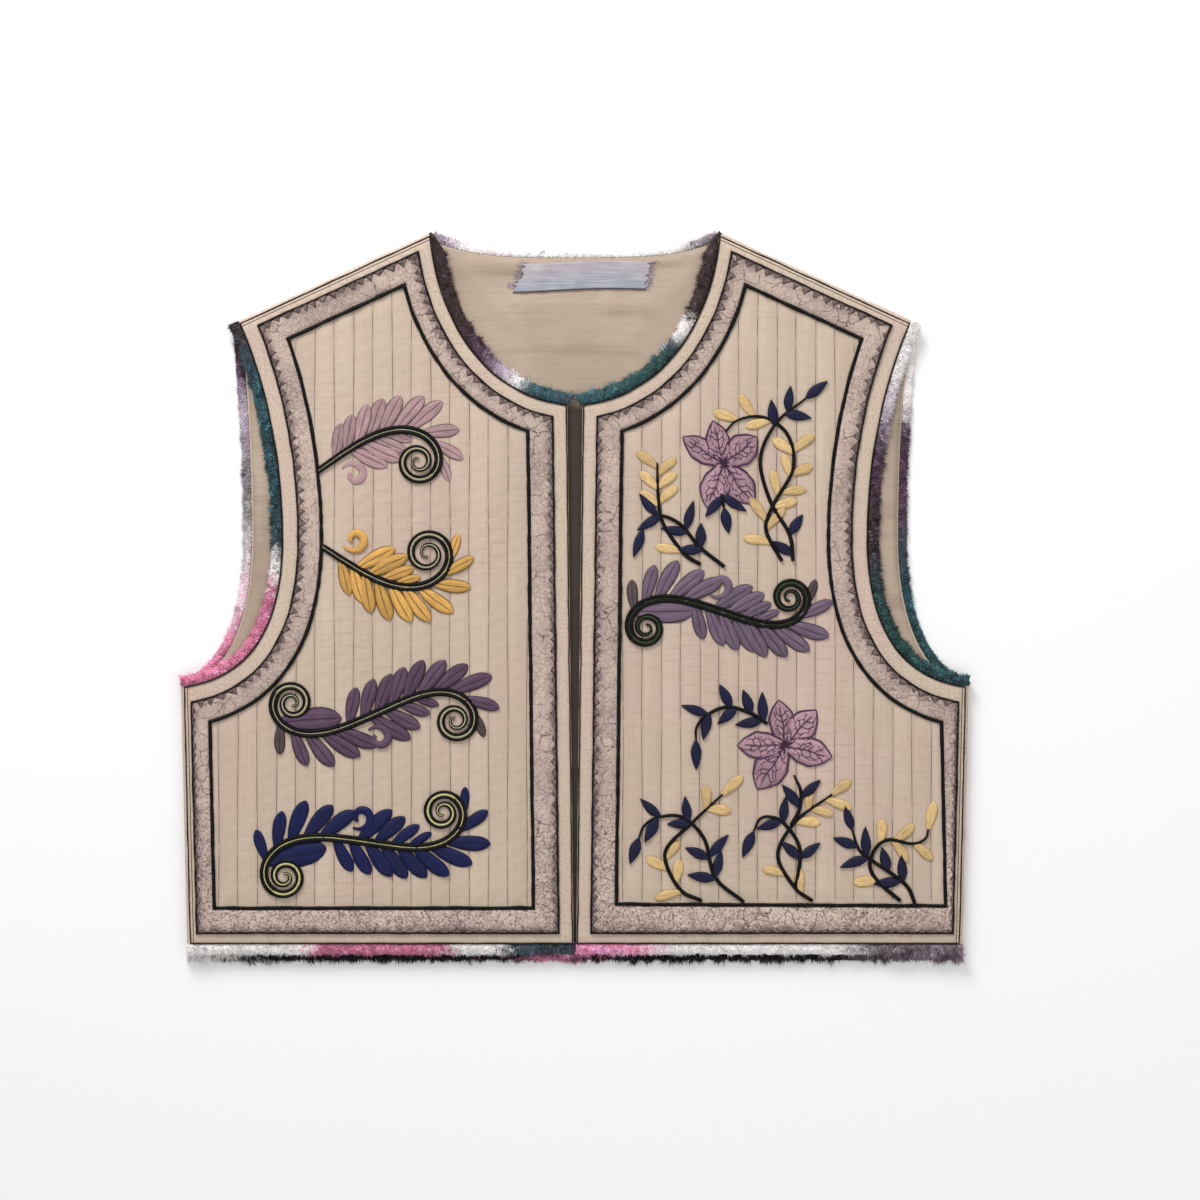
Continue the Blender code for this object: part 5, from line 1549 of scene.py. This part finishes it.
def pile_tufts(gathered, strip, fringe, rng):
    """Fine tufts all over the core: each leans outwards, and towards the tip of its own small lock."""
    path, along, low, reach = strip.path, strip.along, strip.low, strip.reach
    count = int(along[-1] * reach * 1e6 * TUFTS_PER_MM2)

    # Roots: s runs along the edge in metres, and c outwards from 0 to 1
    s = rng.uniform(0, along[-1], count)
    c = rng.beta(1.1, 0.9, count)
    lock_rows = max(2, round(reach / LOCK))
    lock_row = np.minimum((c * lock_rows).astype(int), lock_rows - 1)
    lock_along = ((s + 0.5 * LOCK * (lock_row % 2)) / LOCK).astype(int)
    lock = lock_along * lock_rows + lock_row
    lock_s = (lock_along + 0.5 - 0.5 * (lock_row % 2)) * LOCK
    locks = lock.max() + 1
    out = unit(read_at(s, along, strip.outward))
    tangent = np.stack([-out[:, 1], out[:, 0]], axis=1)
    size = np.interp(s, along, strip.full)
    start = read_at(s, along, path) + out * (c * 0.78 * (reach - GAP) * size)[:, None]
    crown = np.interp(c, (0, 0.5, 0.85, 1.0), (0.58, 0.68, 0.52, 0.30))
    below = rng.random(count) < 0.25 * c
    crown = np.where(below, 0.14, crown)
    start_high = low + np.interp(s, along, strip.lift) + crown * strip.tall * np.minimum(size, 1.0)

    # Tips
    length = rng.uniform(0.22, 0.40, count) * reach * np.interp(c, (0, 1), (0.6, 1.0))
    length *= (1 + 0.34 * rng.normal(0, 1, locks))[lock].clip(0.45, 1.5)
    length *= size
    if fringe:
        on_fringe = (s / along[-1] > fringe[0]) & (s / along[-1] < fringe[1])
        length = np.where(on_fringe, length * 1.45, length)
    rise = np.interp(c, (0, 0.6, 1.0), (0.95, 0.55, 0.10)) + rng.normal(0, 0.20, count)
    rise = np.where(below, -0.05, rise)
    lean = rng.normal(0, 0.30, count) + rng.normal(0, 0.35, locks)[lock]
    gather = 0.55 * (lock_s - s) / np.maximum(length, 0.001)
    flat = out * np.cos(lean)[:, None] + tangent * (np.sin(lean) - gather.clip(-0.9, 0.9))[:, None]
    tip = start + flat * (length * np.cos(rise))[:, None]
    if not strip.on_back:
        tip[:, 0] = np.maximum(tip[:, 0], 0.0002)
    tip_high = np.maximum(start_high + length * np.sin(rise), low + 0.0002)

    across_way = np.stack([-flat[:, 1], flat[:, 0]], axis=1)
    thick = rng.uniform(0.00020, 0.00038, count)
    corners = np.empty((count, 4, 3))
    corners[:, 0] = np.column_stack([start + across_way * thick[:, None], start_high - thick * 0.6])
    corners[:, 1] = np.column_stack([start - across_way * thick[:, None], start_high - thick * 0.6])
    corners[:, 2] = np.column_stack([start, start_high + thick])
    corners[:, 3] = np.column_stack([tip, tip_high])
    order = np.arange(count)[:, None, None] * 4
    faces = (order + np.array([(0, 1, 3), (1, 2, 3), (2, 0, 3), (0, 2, 1)])[None]).reshape(-1, 3)

    # Colours: dyes uneven from lock to lock, with a few dark and a few pale tufts, and painted shade at each
    # root with a painted highlight at each tip
    tint = dye_at(strip, s / along[-1] + rng.normal(0, 0.015, count) + rng.normal(0, 0.02, locks)[lock])
    dark = np.interp(tint.mean(1), (0.08, 0.50), (1.0, 0.45))
    uneven = rng.normal(0.10, 0.36, count) + rng.normal(0, 0.50, locks)[lock]
    tint *= np.exp(uneven * dark + 0.10 * (1 - dark))[:, None]
    fleck = rng.random(count)
    tint[fleck < 0.06] *= 0.60
    tint[fleck > 0.965] = tint[fleck > 0.965] * 0.7 + linear("pile_white") * 0.16
    # Painted shade on the root corners of each tuft, and a painted highlight on its tip
    shading = np.array([0.86, 0.86, 0.95, 1.18])
    colours = np.clip(tint[:, None, :] * shading[None, :, None], 0, 0.95).reshape(-1, 3)
    gathered.add(corners.reshape(-1, 3), faces.tolist(), np.zeros((count * 4, 2)), colours)


def pile_strip(name, edge, reach, side, finish, before=None, after=None, fringe=None):
    """A strip of brushed yarn along an edge: a soft core set all over with fine tufts."""
    path = pile_path(edge, before, after)
    along = lengths_along(path)
    outward = -left_normals(path)
    full = np.ones(len(path))
    if name in ("neck_pile_left", "neck_pile_right"):
        outward = unit(outward + np.clip(1 - (along[-1] - along) / 0.012, 0, 1)[:, None] * (-0.9, 0.3))
        full = np.interp(along, (0.0, 0.014), (0.30, 1.15))
    words = PILE_DYES[name].split()
    stops = [float(word) for word in words[::2]]
    dyes = np.array([linear("pile_" + word) for word in words[1::2]])
    if "back" in name:
        strip = Strip(path, along, outward, full, np.zeros(len(path)), GAP, PILE_BACK_HIGH, reach, True,
                      stops, dyes)
    else:
        strip = Strip(path, along, outward, full, front_lift(path), FRONT_LOW, PILE_HIGH, reach, False,
                      stops, dyes)
    gathered = Joined()
    pile_core(gathered, strip)
    pile_tufts(gathered, strip, fringe, np.random.default_rng(sum(map(ord, name))))
    made = gathered.made(f"brushed_{name}", finish, "yarn_pile", side)
    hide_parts(name)
    return made


# Setting


def studio():
    """A plain pale floor, soft light from above, and the camera straight over the garment."""
    bpy.ops.mesh.primitive_plane_add(size=6.0, location=(0, 0, 0))
    floor = bpy.context.object
    floor.name = "floor"
    paper = Surface("floor_paper", 0.9)
    floor.data.materials.append(paper.colour((0.90, 0.90, 0.90, 1.0)))
    world = bpy.context.scene.world or bpy.data.worlds.new("studio")
    bpy.context.scene.world = world
    world.use_nodes = True
    background = world.node_tree.nodes["Background"].inputs
    background["Color"].default_value = (1.0, 1.0, 1.0, 1.0)
    background["Strength"].default_value = SKY
    for name, place, size, power in LAMPS:
        data = bpy.data.lights.new(name, "AREA")
        data.shape = "DISK"
        data.size = size
        data.energy = power
        lamp = bpy.data.objects.new(name, data)
        lamp.location = place
        lamp.rotation_euler = (-Vector(place)).to_track_quat("-Z", "Y").to_euler()
        bpy.context.scene.collection.objects.link(lamp)
    view = bpy.data.cameras.new("camera")
    view.sensor_width = 36.0
    view.lens = view.sensor_width * CAMERA_HEIGHT / FRAME_WIDTH
    camera = bpy.data.objects.new("camera", view)
    camera.location = (PHOTO_CENTRE[0], PHOTO_CENTRE[1] + HEM_Y, CAMERA_HEIGHT)
    bpy.context.scene.collection.objects.link(camera)
    bpy.context.scene.camera = camera
    bpy.context.scene.view_settings.view_transform = "Standard"


finishes = {
    "lobe": stitched("stitched_lobes", 0.62, 1.0, 0.85),
    "petal": stitched("stitched_petals", 0.70, 0.70, 0.2),
    "soft": stitched("stitched_gold_leaves", 0.75, 0.45, 0.0),
    "hook": stitched("stitched_hooks", 0.62, 0.0, 0.0),
    "cord": cord_finish(),
}
quilt = quilted_cloth()
band_cloth = border_cloth()
points_cloth = point_cloth()
pile = pile_finish()

back = back_sheet(quilt)
lining = lining_sheet(lining_cloth())
label = neck_label(label_finish(), finishes["cord"])
for front, side in (("right", -1), ("left", 1)):
    sheet = front_sheet(front, side, quilt)
    on_it = [border_band(front, side, band_cloth)]
    outer, inner = (ring(border_loop(share, 0.0, side)) for share in (0.0, 1.0))
    edge = ring(offset_loop(CUT, {n: EDGE_INSET.get(n, 0.0003) for n in BORDERS}))
    on_it.append(loop_cord(f"outer_cord_{front}", f"border_cord_outer_{front}", side, finishes["cord"],
                           OUTER_CORD, CORD_HIGH, outer, 41, "outer_cord"))
    on_it.append(loop_cord(f"inner_cord_{front}", f"border_cord_inner_{front}", side, finishes["cord"],
                           INNER_CORD, CORD_HIGH, inner, 43))
    on_it.append(loop_cord(f"edge_cord_{front}", None, side, finishes["cord"], EDGE_CORD, 0.0008, edge, 47,
                           "outer_cord", roll_drop(edge)))
    on_it.append(cut_points(front, side, points_cloth))
    on_it += embroidery(front, side, finishes)
    folds = {"before": "side_left", "after": "shoulder_left"}
    armhole = back_edges()["armhole_left"]
    pile_strip(f"neck_pile_{front}", CUT["neck"], PILE_FRONT, side, pile, before="shoulder_left")
    pile_strip(f"armhole_pile_{front}", CUT["armhole"], PILE_FRONT, side, pile, **folds)
    pile_strip(f"hem_pile_{front}", CUT["hem"], PILE_HEM, side, pile, after="side_left",
               fringe=(0.78, 1.0) if front == "left" else None)
    pile_strip(f"armhole_pile_back_{front}", armhole, PILE_BACK, side, pile, **folds)
pile_strip("neck_pile_back", back_edges()["neck"], PILE_BACK, 1, pile)
pile_strip("hem_pile_back", back_edges()["hem"], PILE_BACK_HEM, 1, pile, before="side_right",
           after="side_left")
studio()
